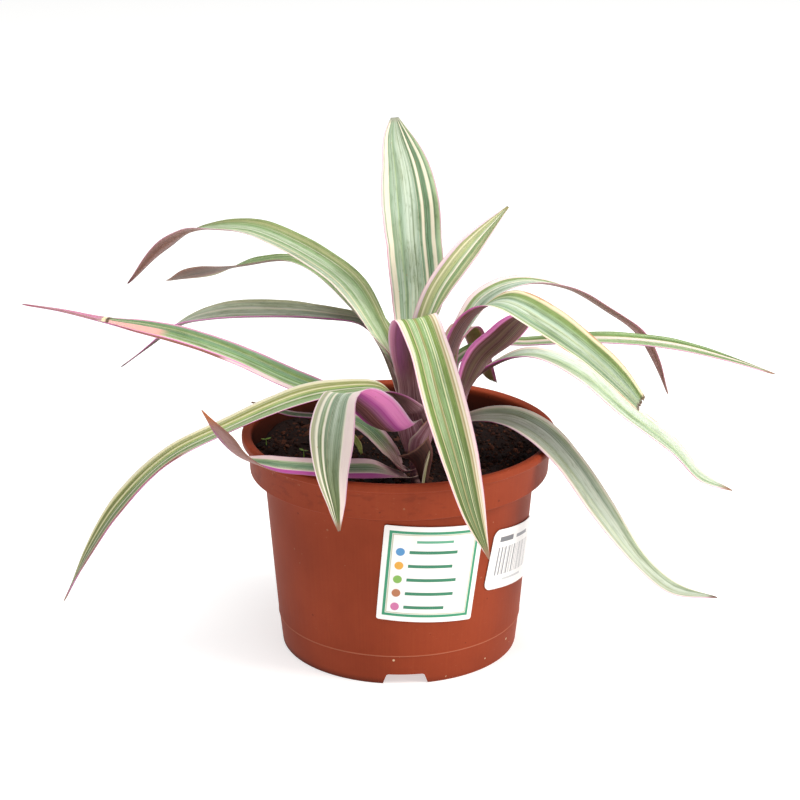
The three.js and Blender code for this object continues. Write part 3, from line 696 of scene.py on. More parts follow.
# %% Stripes of each leaf
# The first list is the upper face and the second, where a leaf has its own, is the underside.
STRIPES = {
    "leaf_tall_upright": ["""
        -1 rose, -.93 blush, -.88 sage, -.84 cream, -.68 cream, -.64 sage, -.42 mint, -.37 pale_leaf,
        -.32 sage, -.18 mint, -.1 pale_mint, .12 pale_mint, .26 mint, .32 deep_sage, .38 sage,
        .41 cream, .47 cream, .51 deep_sage, .66 deep_sage, .7 cream, .78 cream, .82 sage,
        .95 pale_leaf, 1 rose"""],
    "leaf_small_upright": ["""
        -1 rose, -.94 blush, -.8 lilac, -.74 olive, -.6 olive, -.52 ivory, -.4 olive, -.2 lime,
        0 pale_leaf, .05 cream, .12 cream, .17 moss, .35 leaf, .5 lime, .62 olive, .7 moss, .84 olive,
        .9 blush, 1 rose"""],
    "leaf_upper_left": ["""
        -1 lilac, -.94 cream, -.78 cream, -.72 pale_leaf, -.5 pale_mint, -.4 pale_leaf, -.28 ivory,
        -.22 pale_leaf, .02 leaf, .06 pale_leaf, .3 pale_leaf, .4 leaf, .6 moss, .75 olive, 1 moss""", """
        -1 rose, -.9 brown_pink, -.3 rust_brown, .3 brown_pink, .9 maroon, 1 dull_magenta"""],
    "leaf_back_left": ["""
        -1 blush, -.85 pale_leaf, -.5 leaf, 0 moss, .5 leaf, 1 moss""", """
        -1 rust_brown, -.4 brown_olive, .1 rust_brown, .5 olive, 1 rust_brown"""],
    "leaf_mid_left": ["""
        -1 rose, -.93 olive, -.84 olive, -.76 blush, -.28 blush, -.22 sage, -.05 leaf, .05 pale_mint,
        .2 sage, .34 deep_sage, .42 pale_leaf, .5 cream, .56 sage, .7 pale_leaf, .82 sage, .9 olive,
        1 moss"""],
    "leaf_long_left": ["""
        -1 magenta, -.94 rose, -.86 blush, -.2 blush, -.14 pale_leaf, -.08 leaf, 0 pale_leaf, .05 moss,
        .15 sage, .2 pale_leaf, .26 leaf, .5 deep_sage, .62 moss, .86 deep_sage, .95 rose, 1 rose"""],
    "leaf_low_left": ["""
        -1 rose, -.95 blush, -.72 cream, -.66 pale_leaf, -.3 leaf, -.15 pale_leaf, -.05 moss, .05 leaf,
        .12 cream, .2 leaf, .4 lime, .5 ivory, .58 olive, .75 olive, .85 ivory, 1 cream"""],
    "leaf_front_left": ["""
        -1 magenta, -.96 rose, -.9 blush, -.5 blush, -.44 cream, -.38 mint, -.28 deep_sage, -.1 sage,
        0 pale_mint, .14 mint, .22 deep_sage, .36 deep_sage, .42 cream, .47 cream, .52 leaf,
        .62 deep_sage, .68 cream, .74 cream, .8 dull_olive, .92 olive, .96 blush, 1 rose""", """
        -1 lilac, -.9 hot_pink, -.55 hot_pink, -.35 magenta, -.15 dull_magenta, .1 maroon,
        .6 dark_maroon, .9 magenta, 1 hot_pink"""],
    "leaf_front": ["""
        -1 rose, -.95 blush, -.87 blush, -.82 tan, -.76 cream, -.7 tan_olive, -.64 tan, -.58 moss,
        -.4 moss, -.32 leaf, -.27 pale_leaf, -.24 ivory, -.2 leaf, -.04 leaf, .04 moss, .1 tan_olive,
        .2 leaf, .34 pale_leaf, .44 leaf, .49 tan, .53 moss, .7 moss, .77 leaf, .82 cream, .87 tan,
        .94 blush, 1 rose""", """
        -1 lilac, -.9 rose, -.7 dull_magenta, 0 maroon, .6 dull_magenta, .9 rose, 1 lilac"""],
    "leaf_right_arch": ["""
        -1 brown_pink, -.95 tan, -.88 ivory, -.8 tan, -.74 moss, -.6 moss, -.52 leaf, -.42 pale_leaf,
        -.36 sage, -.22 mint, -.16 pale_mint, -.1 pale_leaf, .1 pale_mint, .22 mint, .3 pale_leaf,
        .4 sage, .56 deep_sage, .62 mint, .72 pale_leaf, .82 leaf, .87 cream, .97 cream, 1 brown_pink"""],
    "leaf_right_behind": ["""
        -1 rose, -.94 blush, -.72 blush, -.66 moss, -.48 moss, -.4 pale_leaf, -.3 sage, -.22 cream,
        -.14 mint, .1 pale_mint, .3 sage, .5 mint, .8 pale_mint, 1 blush""", """
        -1 rose, -.85 brown_pink, -.4 rust_brown, .1 brown_pink, .5 rust_brown, .85 brown_pink, 1 rose"""],
    "leaf_far_right": ["""
        -1 leaf, -.7 leaf, -.6 moss, -.45 cream, -.3 blush, -.2 pale_leaf, .1 leaf, .35 pale_leaf,
        .6 pale_leaf, .75 blush, 1 rose"""],
    "leaf_right_low": ["""
        -1 blush, -.8 cream, -.72 pale_mint, -.35 pale_mint, -.2 pale_leaf, 0 sage, .1 pale_leaf,
        .25 pale_mint, .5 pale_leaf, .6 blush, .9 blush, 1 rose"""],
    "leaf_right_front": ["""
        -1 cream, -.9 cream, -.84 pale_leaf, -.66 sage, -.6 deep_sage, -.5 sage, -.42 pale_mint,
        -.2 pale_mint, -.1 mint, 0 sage, .06 pale_leaf, .3 pale_mint, .42 sage, .48 pale_leaf,
        .62 dull_olive, .68 cream, .85 blush, .95 rose, 1 magenta"""],
    "leaf_seen_below": ["""
        -1 rose, -.8 blush, -.6 leaf, 0 sage, .5 leaf, .8 blush, 1 rose""", """
        -1 magenta, -.86 bright_magenta, -.76 dark_maroon, -.5 maroon, -.3 dark_maroon,
        -.1 brown_olive, .2 dark_maroon, .4 brown_olive, .6 dark_maroon, .74 maroon, .82 hot_pink,
        1 bright_magenta"""],
    "leaf_hanging_back": ["""
        -1 rose, -.8 olive, 0 lime, .6 olive, 1 rose""", """
        -1 dull_magenta, -.8 rose, -.72 warm_olive, 0 warm_olive, .4 tan_olive, .7 warm_olive, .8 rose,
        1 magenta"""],
    "leaf_on_rim": ["""
        -1 dull_magenta, -.8 magenta, -.25 magenta, -.2 lilac, -.14 cream, -.08 leaf, 0 deep_sage,
        .15 sage, .35 deep_sage, .6 pale_leaf, .7 blush, .95 blush, 1 rose""", """
        -1 rust_brown, -.6 brown_pink, 0 brown_pink, .4 dull_magenta, .6 brown_pink, .72 magenta,
        .9 bright_magenta, 1 rose"""],
    "leaf_over_soil": ["""
        -1 rose, -.9 blush, -.6 cream, -.5 pale_leaf, -.2 leaf, .3 deep_sage, .6 leaf, .8 blush, 1 rose"""],
}

# %% [markdown]
# ## Lines along the blade
# Between the broad stripes a real blade has dozens of hair-fine lines, paler or deeper than their
# ground, which come and go along its length. Noises that are squeezed across and stretched
# along give them. They lie on the green only: how much more green than red a stripe holds says
# how green it is, so the pink and cream stripes stay clean. A thin blade also lets light through,
# which a little scattering below its surface gives. Coats are colours laid over a skin in order,
# each one with a factor that says where it shows.

# %% Leaf finish
def greenness(colour):
    red, green, _ = colour.node("ShaderNodeSeparateColor", None, {0: colour}).outputs()
    return (green - red).ramp(-0.02, 0.05)


def striped(stops, across, wander):
    return ramp_colour((across + wander * 0.07) * 0.5 + 0.5, stops)


def leaf_top(upper, across, run, share, seed, wander, ways):
    """The upper face: broad stripes, fine lines, blotches, and a darkening towards the tip that is partly
    painted shade and partly age.
    """
    top = coats(striped(upper, across, wander), (ways.get("bleach", 0.0), "e4e4da"))
    green = greenness(top)
    deep_lines = streaks(across * 30, run * 16, seed + 2.5, 2.0).ramp(0.5, 0.66)
    pale_lines = streaks(across * 24, run * 9, seed + 4.5, 2.0).ramp(0.56, 0.66)
    specks = streaks(across * 13, run * 260, seed + 6.5).ramp(0.5, 0.75)
    blotches = streaks(across * 2.2, run * 46, seed + 9.5, 2.0).ramp(0.45, 0.75)
    return coats(
        top,
        (deep_lines * green * 0.62, "8f9e76", "MULTIPLY"),
        (pale_lines * green * 0.6, "e2dccb"),
        (specks * (green * 0.35 + 0.12), "a3ad8b", "MULTIPLY"),
        (blotches * green * 0.5, "a9b184", "MULTIPLY"),
        # Darker towards the tip: partly painted shade where a blade turns down from the light, partly older
        # colour.
        (share.ramp(0.4, 1.0) * (green * 0.85 + 0.15) * ways.get("tip_shade_and_age", 0.45), "8a905f", "MULTIPLY"))


def leaf_underside(under, across, run, seed, wander):
    """The underside with its darker bundles, whose foot turns into sheath, and the sheath itself."""
    bundles = streaks(across * 18, run * 12, seed + 1.5)
    below = coats(
        striped(under, across, wander),
        (bundles.ramp(0.5, 0.75) * 0.5, "b08f80", "MULTIPLY"),
        (bundles.ramp(0.25, 0.5, 0.25, 0.0), "b58488"))
    sheath = blend(bundles.ramp(0.3, 0.7), paint("85505c"), paint("c499a2"))
    sheath = coats(sheath, (across.math("ABSOLUTE").ramp(0.84, 0.97), "d9c2b4"))
    return blend(1 - run.ramp(12 * MM, 36 * MM), below, sheath), sheath


def leaf_finish(name, upper, under=PLAIN_UNDERSIDE, **ways):
    """Ways of one leaf: bleach, and tip shade and age (0 to 1), which darkens the blade towards its tip,
    partly as painted shade and partly as older colour; spotted margins, its tip, and painted bands,
    each as (from across, to across, from share, to share, paint)."""
    finish, tree, shader = new_finish(name + "_skin")
    across, face, run, share = (attribute(tree, label) for label in ("across", "face", "run", "share"))
    seed = sum(ord(letter) for letter in name) % 97
    wander = streaks(across * 1.5, run * 22, seed, 2.0) - 0.5
    top = leaf_top(upper, across, run, share, seed, wander, ways)
    below, sheath = leaf_underside(under, across, run, seed, wander)
    top = blend((1 - run.ramp(10 * MM, 26 * MM)) * 0.8, top, sheath)
    for low, high, start, stop, colour in ways.get("bands", ()):
        along = (share + wander * 0.02).between(start, stop, min(0.02, (stop - start) / 4))
        top = coats(top, ((across + wander * 0.05).between(low, high, 0.03) * along, PAINTS[colour]))

    patches = streaks(across * 2, run * 70, seed + 12.5, 2.0)
    dots = (cells(vector(across * 9, run * 700, seed), 0.45) < 0.085) * (patches > 0.58)
    rusty = across.math("ABSOLUTE").ramp(0.86, 0.98) * patches.ramp(0.5, 0.62) * ways.get("spotted", 0.0)
    dry_tip = ways.get("dry_tip", 0.02)
    skin = coats(
        blend(face < 0, top, below),
        (dots * 0.6, "9a6a48"),
        (rusty, "a8683f"),
        (share.ramp(1 - dry_tip * 2.2, 1 - dry_tip * 0.4), ways.get("tip", "8a6650")))
    lines = streaks(across * 30, run * 16, seed + 2.5)
    feed(shader, {
        "Base Color": skin, "Roughness": 0.42 + lines * 0.2, "Specular IOR Level": 0.35,
        "Subsurface Weight": 0.35, "Subsurface Scale": 1.2 * MM, "Subsurface Radius": (1.0, 1.0, 0.8)})
    relief(shader, (across * 52 + wander * 5).math("SINE") * 0.4 + lines * 1.4, 0.5, 0.14 * MM)
    return finish


# %% [markdown]
# ## The leaves
# Each leaf is baked from its spine with the blade tree. Many have something of their own: a cut
# end that is torn and dry, a deeper fold along the midrib, a dried tip of their own colour, or
# bands of brown and pink where the underside turns up.

# %% Make the leaves
BLADE_AROUND = 56
BLADE_RIPPLE = 1.0
OWN_WAYS = {
    "leaf_right_arch": {"ragged": 3.0, "dry_tip": 0.007, "tip": "4a3022", "spotted": 0.8, "bleach": 0.06},
    "leaf_hanging_back": {"ragged": 0.8, "dry_tip": 0.004, "tip": "6a4a3a"},
    "leaf_long_left": {"fold": 0.05, "dry_tip": 0.03, "tip": "a0586e", "tip_shade_and_age": 0.3, "bands": (
        (-1.1, -0.4, 0.49, 0.8, "rust_brown"), (-0.42, -0.26, 0.42, 0.8, "hot_pink"),
        (-0.26, 0.45, 0.65, 0.8, "blush_brown"), (-1.1, 0.1, 0.8, 1.1, "brown_pink"),
        (0.1, 1.1, 0.8, 1.1, "old_rose"), (-1.1, 1.1, 0.786, 0.793, "brown_olive"),
        (-1.1, 1.1, 0.795, 0.803, "ivory"))},
    "leaf_upper_left": {"fold": 0.05, "tip": "6a3138", "tip_shade_and_age": 0.3, "bleach": 0.08},
    "leaf_tall_upright": {"tip": "8c8f7c", "dry_tip": 0.012, "tip_shade_and_age": 0.3, "bleach": 0.05},
    "leaf_small_upright": {"fold": 0.06, "tip": "8f875c", "tip_shade_and_age": 0.3, "bleach": 0.12},
    "leaf_mid_left": {"fold": 0.05, "tip": "6b4a52", "tip_shade_and_age": 0.05, "bleach": 0.4},
    "leaf_front": {"tip_shade_and_age": 0.9},
    "leaf_front_left": {"tip_shade_and_age": 1.0, "bleach": 0.25},
    "leaf_low_left": {"tip_shade_and_age": 0.9, "bands": (
        (-1.1, -0.4, 0.58, 0.985, "rust_brown"), (-0.4, -0.3, 0.56, 0.985, "blush_brown"))},
    "leaf_on_rim": {"dry_tip": 0.05, "tip": "b5683a"},
    "leaf_right_front": {"dry_tip": 0.015, "tip": "6b4a40", "tip_shade_and_age": 0.1, "bleach": 0.3},
    "leaf_right_behind": {"bleach": 0.1, "tip": "a58078"},
    "leaf_right_low": {"tip_shade_and_age": 0.1, "spotted": 0.5, "bleach": 0.05},
}


def make_blade(name, rows, ring, finish, ragged=0.0, fold=0.02, around=BLADE_AROUND):
    spine = spine_mesh(name, stations(rows, ring), ragged, fold)
    inputs = {"Around": around, "Thickness": BLADE_THICK * MM, "Ripple": BLADE_RIPPLE * MM,
              "Seed": float(len(name) * 7 % 23), "Finish": finish}
    return bake(spine, blade_tree, inputs, name)


for leaf_name, leaf in LEAVES.items():
    own = OWN_WAYS.get(leaf_name, {})
    shape_ways = {key: own[key] for key in ("ragged", "fold") if key in own}
    finish_ways = {key: own[key] for key in own if key not in shape_ways}
    skin = leaf_finish(leaf_name, *map(stripes, STRIPES[leaf_name]), **finish_ways)
    rows, ring = leaf_rows(leaf)
    blade = make_blade(leaf_name + "_blade", rows, ring, skin, **shape_ways)
    dress(blade, "leaf", leaf_name)

# %% [markdown]
# ## Stems
# The stems are short and mostly hidden by the sheaths. Where they show above the peat they are
# fleshy, round and ringed by the scars of old leaves, so a lathe-like stack of rings whose radius
# swells a little at each scar is enough.

# %% Stem finish
def stem_finish():
    finish, tree, shader = new_finish("stem_skin")
    mottle = cloud(object_place(tree), 900.0, detail=4.0)
    skin = ramp_colour(mottle, [(0.25, "4a2b31"), (0.5, "6d4450"), (0.75, "8d6a58")])
    feed(shader, {"Base Color": skin, "Roughness": 0.5 + mottle * 0.3})
    relief(shader, mottle, 0.5, 0.2 * MM)
    return finish


# %% Make the stems
STEM_DEPTH = 24
STEM_ROW, STEM_SIDES = 0.5, 32
STEM_BARE_RADIUS = STEM_RADIUS - 0.35
SCAR_SWELL = 0.3
ROUNDED_END = 3


def make_stem(name, stem, finish):
    turn = stem["lean"].to_track_quat("Z", "Y")
    body = bmesh.new()
    loops = []
    for k in range(round((stem["tall"] + STEM_DEPTH) / STEM_ROW) + 1):
        height = -STEM_DEPTH + k * STEM_ROW
        scar = abs((height / SHEATH_SPACING) % 1 - 0.5) * 2
        end = min(1.0, (stem["tall"] - height) / ROUNDED_END, (height + STEM_DEPTH) / ROUNDED_END)
        radius = (STEM_BARE_RADIUS + SCAR_SWELL * scar**6) * math.sqrt(max(end, 0.02))
        spots = [Vector((x, y, height)) for x, y in circle(radius, STEM_SIDES)]
        loops.append([body.verts.new((stem["foot"] + turn @ spot) * MM) for spot in spots])
    skin_loops(body, loops)
    return show(finished_mesh(body, name, finish), name)


stem_skin = stem_finish()
for stem_name, stem in STEMS.items():
    dress(make_stem(f"stem_{stem_name}_ringed", stem, stem_skin), "stem", f"stem_{stem_name}")

# %% [markdown]
# ## Old leaf pieces
# Two old sheaths stand at the foot of the stem: a dark one, cut off askew with a pale rim, and
# a pale dry one. A stub of a cut leaf stands in the peat. All three are small blades, made by the
# same tree, with a papery finish.

# %% Old leaf finish
def papery_finish(name, light, dark, edge, rim=None, rim_run=None):
    """A rim is the pale line along a cut end, from the place rim_run on (metres along the piece)."""
    finish, tree, shader = new_finish(name)
    across = attribute(tree, "across")
    run = attribute(tree, "run")
    lines = streaks(across * 14, run * 120, 2.0, 4.0)
    skin = blend(lines.ramp(0.35, 0.65), paint(dark), paint(light))
    skin = coats(skin, (across.math("ABSOLUTE").ramp(0.7, 0.98), edge))
    if rim:
        skin = coats(skin, (run.ramp(rim_run, rim_run + 0.8 * MM), rim))
    feed(shader, {"Base Color": skin, "Roughness": 0.6 + lines * 0.3})
    relief(shader, lines, 0.7, 0.15 * MM)
    return finish


# %% Make the old pieces
OLD_PIECES = {
    "old_sheath": [(10.8, -45.8, 90.8, 3.6, 130, -65), (10.3, -46.1, 98, 7.8, 110, -65),
                   (9, -46.7, 103.4, 13, 95, -65), (6.1, -47.9, 107.1, 18.2, 80, -65)],
    "dry_sheath": [(10, -51, 90.8, 3.2, 70, 0), (11.6, -51.2, 101, 4.8, 70, 0), (13, -51, 107.9, 1.2, 30, 0)],
    "cut_stub": [(-16.8, -10.4, 91, 3, 80, 0), (-18.5, -10, 95, 6, 80, 0), (-20.8, -9.1, 99.5, 4, 60, 0)],
}
OLD_PAINTS = {
    "old_sheath": ("5b3428", "38201c", "7a4a44", "9a7560", 16.5 * MM),
    "dry_sheath": ("cbc89e", "93905f", "cfc6ac"),
    "cut_stub": ("8f9a44", "5f6b2a", "a9a06a"),
}
OLD_AROUND = 32
FLAT_RING = {"side": Vector((1, 0, 0)), "hollow": Vector((0, -1, 0))}
for old_name, line in OLD_PIECES.items():
    skin = papery_finish(old_name + "_skin", *OLD_PAINTS[old_name])
    rows = free_rows(line)
    old = make_blade(old_name + "_papery", rows, FLAT_RING, skin, ragged=1.0, around=OLD_AROUND)
    dress(old, "dried_leaf", old_name)

# %% [markdown]
# ## Seedlings
# Two weeds have just come up, each a thread of a stalk with two seed leaves. Their seed leaves are
# little spoons: a disc pulled long, hollowed and tipped up.

# %% Make the seedlings
def seedling_finish():
    finish, tree, shader = new_finish("seedling_skin")
    tone = cloud(object_place(tree), 1500.0)
    feed(shader, {"Base Color": blend(tone, paint("587e1e"), paint("82a03a")), "Roughness": 0.4 + tone * 0.2})
    return finish


def make_seedling(name, x, y, stalk, turn, finish):
    body = bmesh.new()
    spin = Matrix.Rotation(math.radians(turn), 4, "Z")
    for sign in (1, -1):
        lobe = bmesh.ops.create_uvsphere(body, u_segments=20, v_segments=12, radius=1)["verts"]
        for vert in lobe:
            reach = vert.co.x * 1.25 + 1.15
            width = vert.co.y * 0.75 * (1 - 0.12 * vert.co.x)
            cup = 0.2 * width**2 + 0.09 * reach**2 + vert.co.z * 0.16
            vert.co = spin @ Vector((reach * sign, width, stalk + 0.15 + cup))
    top = Vector((0, 0, stalk + 0.3))
    bottom = Vector((0.15, 0.1, -3))
    thread = bmesh.ops.create_cone(
        body, cap_ends=True, segments=12, radius1=0.3, radius2=0.2, depth=(top - bottom).length)
    lean = (top - bottom).to_track_quat("Z", "Y")
    for vert in thread["verts"]:
        vert.co = (top + bottom) / 2 + lean @ vert.co
    for vert in body.verts:
        vert.co = (vert.co + Vector((x, y, SOIL_LEVEL))) * MM
    return show(finished_mesh(body, name, finish), name)


fresh_green = seedling_finish()
for place, *form in (("left", -59.7, 6.5, 3, 20), ("middle", -42.3, -7.5, 2.8, -35)):
    dress(make_seedling(f"seedling_{place}_fresh", *form, fresh_green), "seedling", f"seedling_{place}")

# %% [markdown]
# ## The pot
# The pot is injection moulded: one skin of plastic with a rolled lip, a raised band below it,
# a slightly tapered body and a foot ring with drainage notches. A profile is spun round the
# axis, with the lip's bead as an arc, and then the notches and drain holes are cut with
# a Boolean modifier. The solid model has the same profile with fewer sides.

# %% Pot profile
POT_HEIGHT = 99.4
POT_TOP_RADIUS = 70
POT_WALL = 1.3
LIP_INNER_RADIUS = 65.6
BAND_HIGH, BAND_HIGH_RADIUS = 95, 67.4
BAND_LOW, BAND_LOW_RADIUS = 82.2, 66.4
BODY_HIGH, BODY_HIGH_RADIUS = 80, 60.2
BODY_LOW, BODY_LOW_RADIUS = 14, 54.8
FOOT_RADIUS = 53.2
FOOT_RING_WIDTH = 2.4
FLOOR_UNDER, FLOOR_TOP = 6, 7.6
BODY_ROWS = 8


def body_radius(z):
    return BODY_LOW_RADIUS + (z - BODY_LOW) * (BODY_HIGH_RADIUS - BODY_LOW_RADIUS) / (BODY_HIGH - BODY_LOW)


def arc(centre_r, centre_z, radius, start, end, steps):
    """Points on an arc of the profile, with angles in degrees from straight out."""
    points = []
    for k in range(steps + 1):
        angle = math.radians(start + (end - start) * k / steps)
        points.append((centre_r + radius * math.cos(angle), centre_z + radius * math.sin(angle)))
    return points


def pot_profile():
    ring = FOOT_RADIUS - FOOT_RING_WIDTH
    foot = [(0, FLOOR_UNDER), (ring - 0.6, FLOOR_UNDER), (ring, FLOOR_UNDER - 0.8)]
    foot += [(ring, 0.2), (ring + 0.2, 0)] + arc(FOOT_RADIUS - 0.6, 0.6, 0.6, -90, 0, 4)
    step = [(BODY_LOW_RADIUS - 0.24, BODY_LOW - 0.7), (BODY_LOW_RADIUS - 0.2, BODY_LOW - 0.35)]
    step += arc(BODY_LOW_RADIUS - 0.05, BODY_LOW - 0.05, 0.18, -60, 60, 4)
    body = [(BODY_LOW_RADIUS + 0.02, BODY_LOW + 0.45)]
    body += [(BODY_LOW_RADIUS + (BODY_HIGH_RADIUS - BODY_LOW_RADIUS) * k / BODY_ROWS,
              BODY_LOW + (BODY_HIGH - BODY_LOW) * k / BODY_ROWS) for k in range(1, BODY_ROWS + 1)]
    body += [(BODY_HIGH_RADIUS + 0.4, BODY_HIGH + 1.2)]
    band = [(BODY_HIGH_RADIUS + 1.2, BAND_LOW - 0.2), (BAND_LOW_RADIUS - 1.0, BAND_LOW)]
    band += arc(BAND_LOW_RADIUS - 0.5, BAND_LOW + 0.6, 0.6, -80, 0, 4)
    band += [(BAND_HIGH_RADIUS, BAND_HIGH), (BAND_HIGH_RADIUS + 0.3, BAND_HIGH + 0.5)]
    lip = arc(POT_TOP_RADIUS - 1.0, BAND_HIGH + 1.7, 1.0, -80, 0, 5)
    lip += arc(POT_TOP_RADIUS - 1.3, POT_HEIGHT - 1.3, 1.3, 0, 90, 7)
    lip += [(POT_TOP_RADIUS - 2.8, POT_HEIGHT - 0.15)]
    lip += arc(LIP_INNER_RADIUS + 1.3, POT_HEIGHT - 1.6, 1.3, 95, 180, 6)
    inner = [(BAND_LOW_RADIUS - POT_WALL - 0.6, BAND_LOW + POT_WALL + 1)]
    inner += [(BODY_HIGH_RADIUS - POT_WALL + 1, BAND_LOW + POT_WALL - 0.6)]
    inner += [(BODY_HIGH_RADIUS - POT_WALL, BODY_HIGH - 1), (BODY_LOW_RADIUS - POT_WALL, BODY_LOW)]
    return foot + step + body + band + lip + inner + [(FOOT_RADIUS - POT_WALL, FLOOR_TOP), (0, FLOOR_TOP)]


# %% Spin a profile
def spun_mesh(name, profile, sides):
    body = bmesh.new()
    rims = []
    for radius, height in profile:
        spots = circle(radius, sides if radius else 1)
        rims.append([body.verts.new((x * MM, y * MM, height * MM)) for x, y in spots])
    for low, high in zip(rims, rims[1:]):
        for k in range(sides):
            ahead = k + 1
            corners = [low[k % len(low)], low[ahead % len(low)], high[ahead % len(high)], high[k % len(high)]]
            body.faces.new(list(dict.fromkeys(corners)))
    return finished_mesh(body, name)


# %% Notch and drain cutters
DRAIN_RADIUS, DRAIN_RING, DRAIN_COUNT = 4, 32, 6
NOTCH_COUNT, NOTCH_WIDTH, NOTCH_HEIGHT = 3, 19, 4.8
NOTCH_SLOPE, NOTCH_TURN = 2, 3
DRAIN_CUT, NOTCH_CUT = 8, 12


def notch_outline():
    half = NOTCH_WIDTH / 2
    left = [(-half - 0.6, -2), (-half - 0.3, 0.2), (-half + NOTCH_SLOPE * 0.4, NOTCH_HEIGHT - 1.4)]
    left += [(-half + NOTCH_SLOPE * 0.6, NOTCH_HEIGHT - 0.4), (-half + NOTCH_SLOPE, NOTCH_HEIGHT)]
    return left + [(-x, z) for x, z in reversed(left)]


def cutters_mesh():
    body = bmesh.new()
    for x, y in [(0, 0), *circle(DRAIN_RING, DRAIN_COUNT)]:
        spot = Matrix.Translation(Vector((x, y, FLOOR_UNDER + 0.8)) * MM)
        bmesh.ops.create_cone(body, cap_ends=True, segments=32, radius1=DRAIN_RADIUS * MM,
                              radius2=DRAIN_RADIUS * MM, depth=DRAIN_CUT * MM, matrix=spot)
    for k in range(NOTCH_COUNT):
        turn = Matrix.Rotation(math.radians(NOTCH_TURN + 360 * k / NOTCH_COUNT), 4, "Z")
        loops = []
        for y in (-FOOT_RADIUS - NOTCH_CUT / 2, -FOOT_RADIUS + NOTCH_CUT / 2):
            loops.append([body.verts.new(turn @ (Vector((x, y, z)) * MM)) for x, z in notch_outline()])
        skin_loops(body, loops)
    return finished_mesh(body, "pot_cutters")


# %% [markdown]
# ## Moulded terracotta-coloured plastic
# Up close the plastic isn't one colour. It is a warm brick red with slow darker clouds, faint
# upright flow lines from the mould, rubbed pale scuffs, dried splashes of lime water, most of
# them near the foot, and peat dust inside the mouth. Shade is painted into the colour too: a
# darker ring under the band, a dark inner wall below the lip, and a dark bottom edge of the foot,
# deepest on the left.

# %% Pot finish
def pot_marks(place, x, y, z, angle, slow):
    """Small marks in the plastic, as factors: lime specks near the foot, dark dots, stains, scuffs."""
    near_foot = 1 - z.ramp(12 * MM, 30 * MM)
    specks = (cells(place, 260.0) < 0.14) * (cloud(place, 60.0) > 0.6) * (near_foot * 0.7 + 0.12)
    pits = (cells(place, 190.0) < 0.1) * (cloud(place, 47.0) > 0.58) * 0.5
    stain = streaks(angle * 9, z * 330, 5.0).ramp(0.52, 0.62)
    stain = stain * z.between(84 * MM, 94.5 * MM, 2 * MM) * (y < 0) * (x < 20 * MM) * 0.25
    scratch = streaks(angle * 26, z * 900, 7.0, 4.0, 0.7)
    return specks, pits, stain, scratch, scratch.ramp(0.62, 0.72) * slow.ramp(0.45, 0.6) * 0.2


def pot_finish():
    finish, tree, shader = new_finish("terracotta_plastic_skin")
    place = object_place(tree)
    x, y, z = place.node("ShaderNodeSeparateXYZ", None, {0: place}).outputs()
    angle = y.math("ARCTAN2", x)
    slow = cloud(place, 22.0)
    fine = cloud(place, 420.0, detail=4.0)
    flow = streaks(angle * 60, z * 14, 3.0)
    specks, pits, stain, scratch, scuffs = pot_marks(place, x, y, z, angle, slow)
    step_line = z.between((BODY_LOW - 0.3) * MM, (BODY_LOW + 0.3) * MM, 0.1 * MM)
    outside = x * x + y * y > ((FOOT_RADIUS - 0.4) * MM) ** 2
    # Painted shade: a darker ring on the body just under the overhanging band.
    painted_shade_under_band = z.between((BODY_HIGH - 0.4) * MM, BAND_LOW * MM, 0.6 * MM)
    inside = attribute(tree, "inside")
    # Painted shade: the inner wall below the lip is darkened where the mouth lies in shadow.
    painted_shade_below_lip = 1 - z.ramp((BAND_HIGH + 0.5) * MM, (BAND_HIGH + 3.5) * MM)
    dust = (1 - z.ramp(SOIL_LEVEL * MM, (BAND_HIGH + 2) * MM)) * inside
    # Painted shade: the bottom edge of the foot is darkened, most on the left, away from the key light.
    painted_shade_at_foot = (1 - z.ramp(0.0, 3.5 * MM)) * 0.6 * (1 - x.ramp(-30 * MM, 50 * MM))
    skin = coats(
        blend(slow.ramp(0.3, 0.7), paint("84351d"), paint("903c22")),
        ((flow - 0.45) * 0.4, "a3512f"),
        ((fine - 0.5) * 0.35, "66291a"),
        (scuffs, "c98468"),
        (specks, "d8bd9a"),
        (pits, "4f1f14"),
        (stain, "5f2416"),
        (step_line * outside * 0.35, "c98468"),
        (painted_shade_under_band * 0.4, "5a2415"),
        (inside * painted_shade_below_lip * 0.9, "431a10"),
        (dust * (0.25 + fine * 0.8), "2c160f"),
        (painted_shade_at_foot, "2c1510"))
    ribs = (angle * 110).math("SINE") * z.between(16 * MM, 30 * MM, 4 * MM)
    roughness = 0.52 + flow * 0.12 + dust * 0.3 + specks * 0.2
    feed(shader, {"Base Color": skin, "Roughness": roughness, "Specular IOR Level": 0.1})
    relief(shader, fine * 0.6 + flow * 0.5 + scratch * 0.4 + ribs * 0.25, 0.22, 0.12 * MM)
    return finish


# %% Which side of the wall
def mark_inside(mesh):
    """Marks the points of the pot's inner skin, which is darkened with painted shade below the lip and with
    peat dust near the peat.
    """
    layer = mesh.attributes.new("inside", "FLOAT", "POINT")
    for vert in mesh.vertices:
        radius, height = math.hypot(vert.co.x, vert.co.y) / MM, vert.co.z / MM
        wall = BAND_LOW_RADIUS if height > BAND_LOW + 0.3 else body_radius(max(height, BODY_LOW))
        over_floor = height > FLOOR_TOP - 0.1
        layer.data[vert.index].value = float(over_floor and radius < wall - POT_WALL * 0.6)


